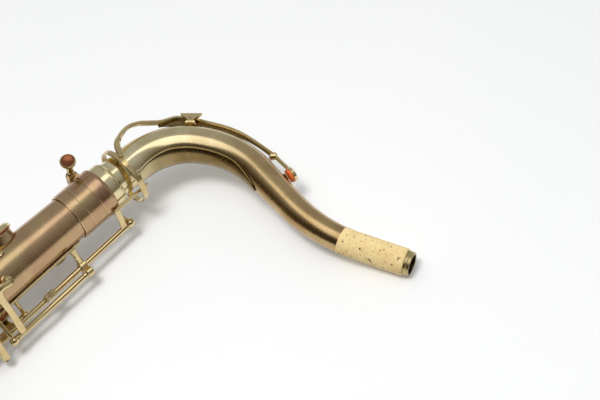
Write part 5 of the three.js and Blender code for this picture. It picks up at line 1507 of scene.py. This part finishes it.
CAMERA = Sizes(target=Vector((21, 0, 0)), distance=929.5, lens=84.68, sensor=36, pixel=(125.0, 170.3))
CAMERA_BACK = Vector((-0.3663, -0.3433, 0.8649))
CAMERA_RIGHT = Vector((0.6839, -0.7296, 0.0))
IMAGE = (600, 400)
UPRIGHT = Vector((0, 0, 1))
FLOOR_GLOW = 0.12
FLOOR_REACH = 12
ROOM = Sizes(near=0.05, far=0.5, warm=(1, 0.80, 0.55), cool=(0.95, 0.98, 1), away=0.75, aside=0.35, up=0.55)
LAMPS = {
    "key": Sizes(spot=(-0.1, -0.45, 1.7), size=(0.5, 0.5), energy=16.5, colour=(1, 0.995, 0.98),
                 mirrored=False),
    "ceiling": Sizes(spot=(0, -0.39, 2.0), size=(1.7, 1.9), energy=12.5, colour=(1, 1, 1), mirrored=True),
}


def make_camera():
    back, right = CAMERA_BACK.normalized(), CAMERA_RIGHT.normalized()
    right = (right - back * back.dot(right)).normalized()
    up = back.cross(right)
    data = bpy.data.cameras.new("camera")
    data.lens, data.sensor_width = CAMERA.lens, CAMERA.sensor
    data.clip_start, data.clip_end = 0.01, 20
    camera = bpy.data.objects.new("camera", data)
    bpy.context.scene.collection.objects.link(camera)
    distance, (column, row) = CAMERA.distance, CAMERA.pixel
    scale = distance * CAMERA.sensor / CAMERA.lens / IMAGE[0]
    aside, above = (column - IMAGE[0] / 2) * scale, (IMAGE[1] / 2 - row) * scale
    pose = Matrix((right, up, back)).transposed().to_4x4()
    pose.translation = (CAMERA.target + back * distance - right * aside - up * above) * MM
    camera.matrix_world = PLACE @ pose
    bpy.context.scene.camera = camera


def seen_rays(nodes, links):
    """1 for the camera's own rays and for those that a glossy or clear surface sends on"""
    path = nodes.new("ShaderNodeLightPath")
    total = path.outputs["Is Camera Ray"]
    for name in ("Is Glossy Ray", "Is Transmission Ray"):
        most = nodes.new("ShaderNodeMath")
        most.operation = "MAXIMUM"
        links.new(total, most.inputs[0])
        links.new(path.outputs[name], most.inputs[1])
        total = most.outputs[0]
    return total


def make_floor():
    mesh = bpy.data.meshes.new("floor")
    corners = [(FLOOR_REACH * x, FLOOR_REACH * y, 0) for x, y in ((-1, -1), (1, -1), (1, 1), (-1, 1))]
    mesh.from_pydata(corners, [], [(0, 1, 2, 3)])
    floor = bpy.data.objects.new("floor", mesh)
    bpy.context.scene.collection.objects.link(floor)
    paper = Finish("paper", 0, 0.8)
    paper.plug(paper.ramp(paper.noise(3, 3), (0.3, (0.825, 0.835, 0.84)), (0.7, (0.84, 0.845, 0.85))),
               "Base Color")
    paper.shader.inputs["Emission Color"].default_value = (0.94, 0.985, 1, 1)
    glow = paper.nodes.new("ShaderNodeMath")
    glow.operation = "MULTIPLY"
    glow.inputs[1].default_value = FLOOR_GLOW
    paper.links.new(seen_rays(paper.nodes, paper.links), glow.inputs[0])
    paper.plug(glow.outputs[0], "Emission Strength")
    mesh.materials.append(paper.material)


def view_right():
    right = bpy.context.scene.camera.matrix_world.to_3x3() @ Vector((1, 0, 0))
    right.z = 0
    return right.normalized()


def studio(aside, away, height):
    """A point over the floor, measured from the neck as the photograph shows it: to its right, away and up"""
    right = view_right()
    return INSTRUMENT @ CAMERA.target + right * aside + UPRIGHT.cross(right) * away + UPRIGHT * height


def add_lamp(name, spot, size, energy, colour):
    """A soft box that shines straight down: its size across the picture and away from the camera"""
    data = bpy.data.lights.new(name, "AREA")
    data.shape, data.energy, data.color = "RECTANGLE", energy, colour
    data.size, data.size_y = size
    lamp = bpy.data.objects.new(name, data)
    right = view_right()
    turn = Matrix((right, UPRIGHT.cross(right), UPRIGHT)).transposed().to_4x4()
    lamp.matrix_world = Matrix.Translation(spot) @ turn
    bpy.context.scene.collection.objects.link(lamp)
    return lamp


def make_world():
    """A studio whose far wall is pale and cool and whose near side is dark and warm"""
    world = bpy.data.worlds.new("world")
    world.use_nodes = True
    nodes, links = world.node_tree.nodes, world.node_tree.links
    background = nodes["Background"]
    lean = nodes.new("ShaderNodeVectorMath")
    lean.operation = "DOT_PRODUCT"
    right = view_right()
    far_wall = UPRIGHT.cross(right) * ROOM.away + right * ROOM.aside + UPRIGHT * ROOM.up
    lean.inputs[1].default_value = far_wall.normalized()
    links.new(nodes.new("ShaderNodeTexCoord").outputs["Generated"], lean.inputs[0])
    level = nodes.new("ShaderNodeMapRange")
    for name, value in (("From Min", -0.25), ("From Max", 0.6), ("To Min", ROOM.near), ("To Max", ROOM.far)):
        level.inputs[name].default_value = value
    links.new(lean.outputs["Value"], level.inputs["Value"])
    links.new(level.outputs["Result"], background.inputs["Strength"])
    tone = nodes.new("ShaderNodeValToRGB")
    for element, place, colour in zip(tone.color_ramp.elements, (0.1, 0.4), (ROOM.warm, ROOM.cool)):
        element.position, element.color = place, (*colour, 1)
    links.new(level.outputs["Result"], tone.inputs["Fac"])
    links.new(tone.outputs["Color"], background.inputs["Color"])
    bpy.context.scene.world = world


def make_light():
    make_world()
    for name, lamp in LAMPS.items():
        made = add_lamp(name, studio(*lamp.spot), lamp.size, lamp.energy, lamp.colour)
        made.visible_glossy = lamp.mirrored
    bpy.context.scene.view_settings.view_transform = "Standard"


MATERIALS = {
    "bronze": bronze_finish(),
    "gold": gold_finish("gold", 0.12, 0.55, (0.42, 0.275, 0.125), (0.53, 0.375, 0.185)),
    # brace: dark brown tones that paint the dark reflection and shade on the bend's underside; the octave
    # key's webs take them too as painted shade
    "brace": gold_finish("brace", 0.02, 0.2, (0.19, 0.125, 0.045), (0.29, 0.20, 0.08)),
    "brass": brass_finish("brass", (0.61, 0.465, 0.225), (0.73, 0.585, 0.32), 0.15),
    "tip": brass_finish("tip", (0.44, 0.35, 0.16), (0.55, 0.45, 0.23), 0.3),
    "copper": brass_finish("copper", (0.19, 0.062, 0.03), (0.27, 0.095, 0.042), 0.24),
    "cork": cork_finish(),
    "leather": leather_finish(),
    "pearl": pearl_finish(),
    "felt": felt_finish(),
    "steel": steel_finish(),
}

make_camera()
build_body()
build_bow()
build_bell()
build_ferrule("body_bow_ferrule", 0, BODY.bottom_radius)
build_ferrule("bow_bell_ferrule", BOW_LINE.reach, BOW.end)
build_receiver()
build_clamp_screw()
build_neck()
build_saddle()
build_neck_key()
build_line_keys()
build_rib("upper_stack_rib", "upper")
build_rib("lower_stack_rib", "lower")
build_octave()
build_low_keys()
build_guards()
build_bell_brace()
build_fittings()
make_floor()
make_light()
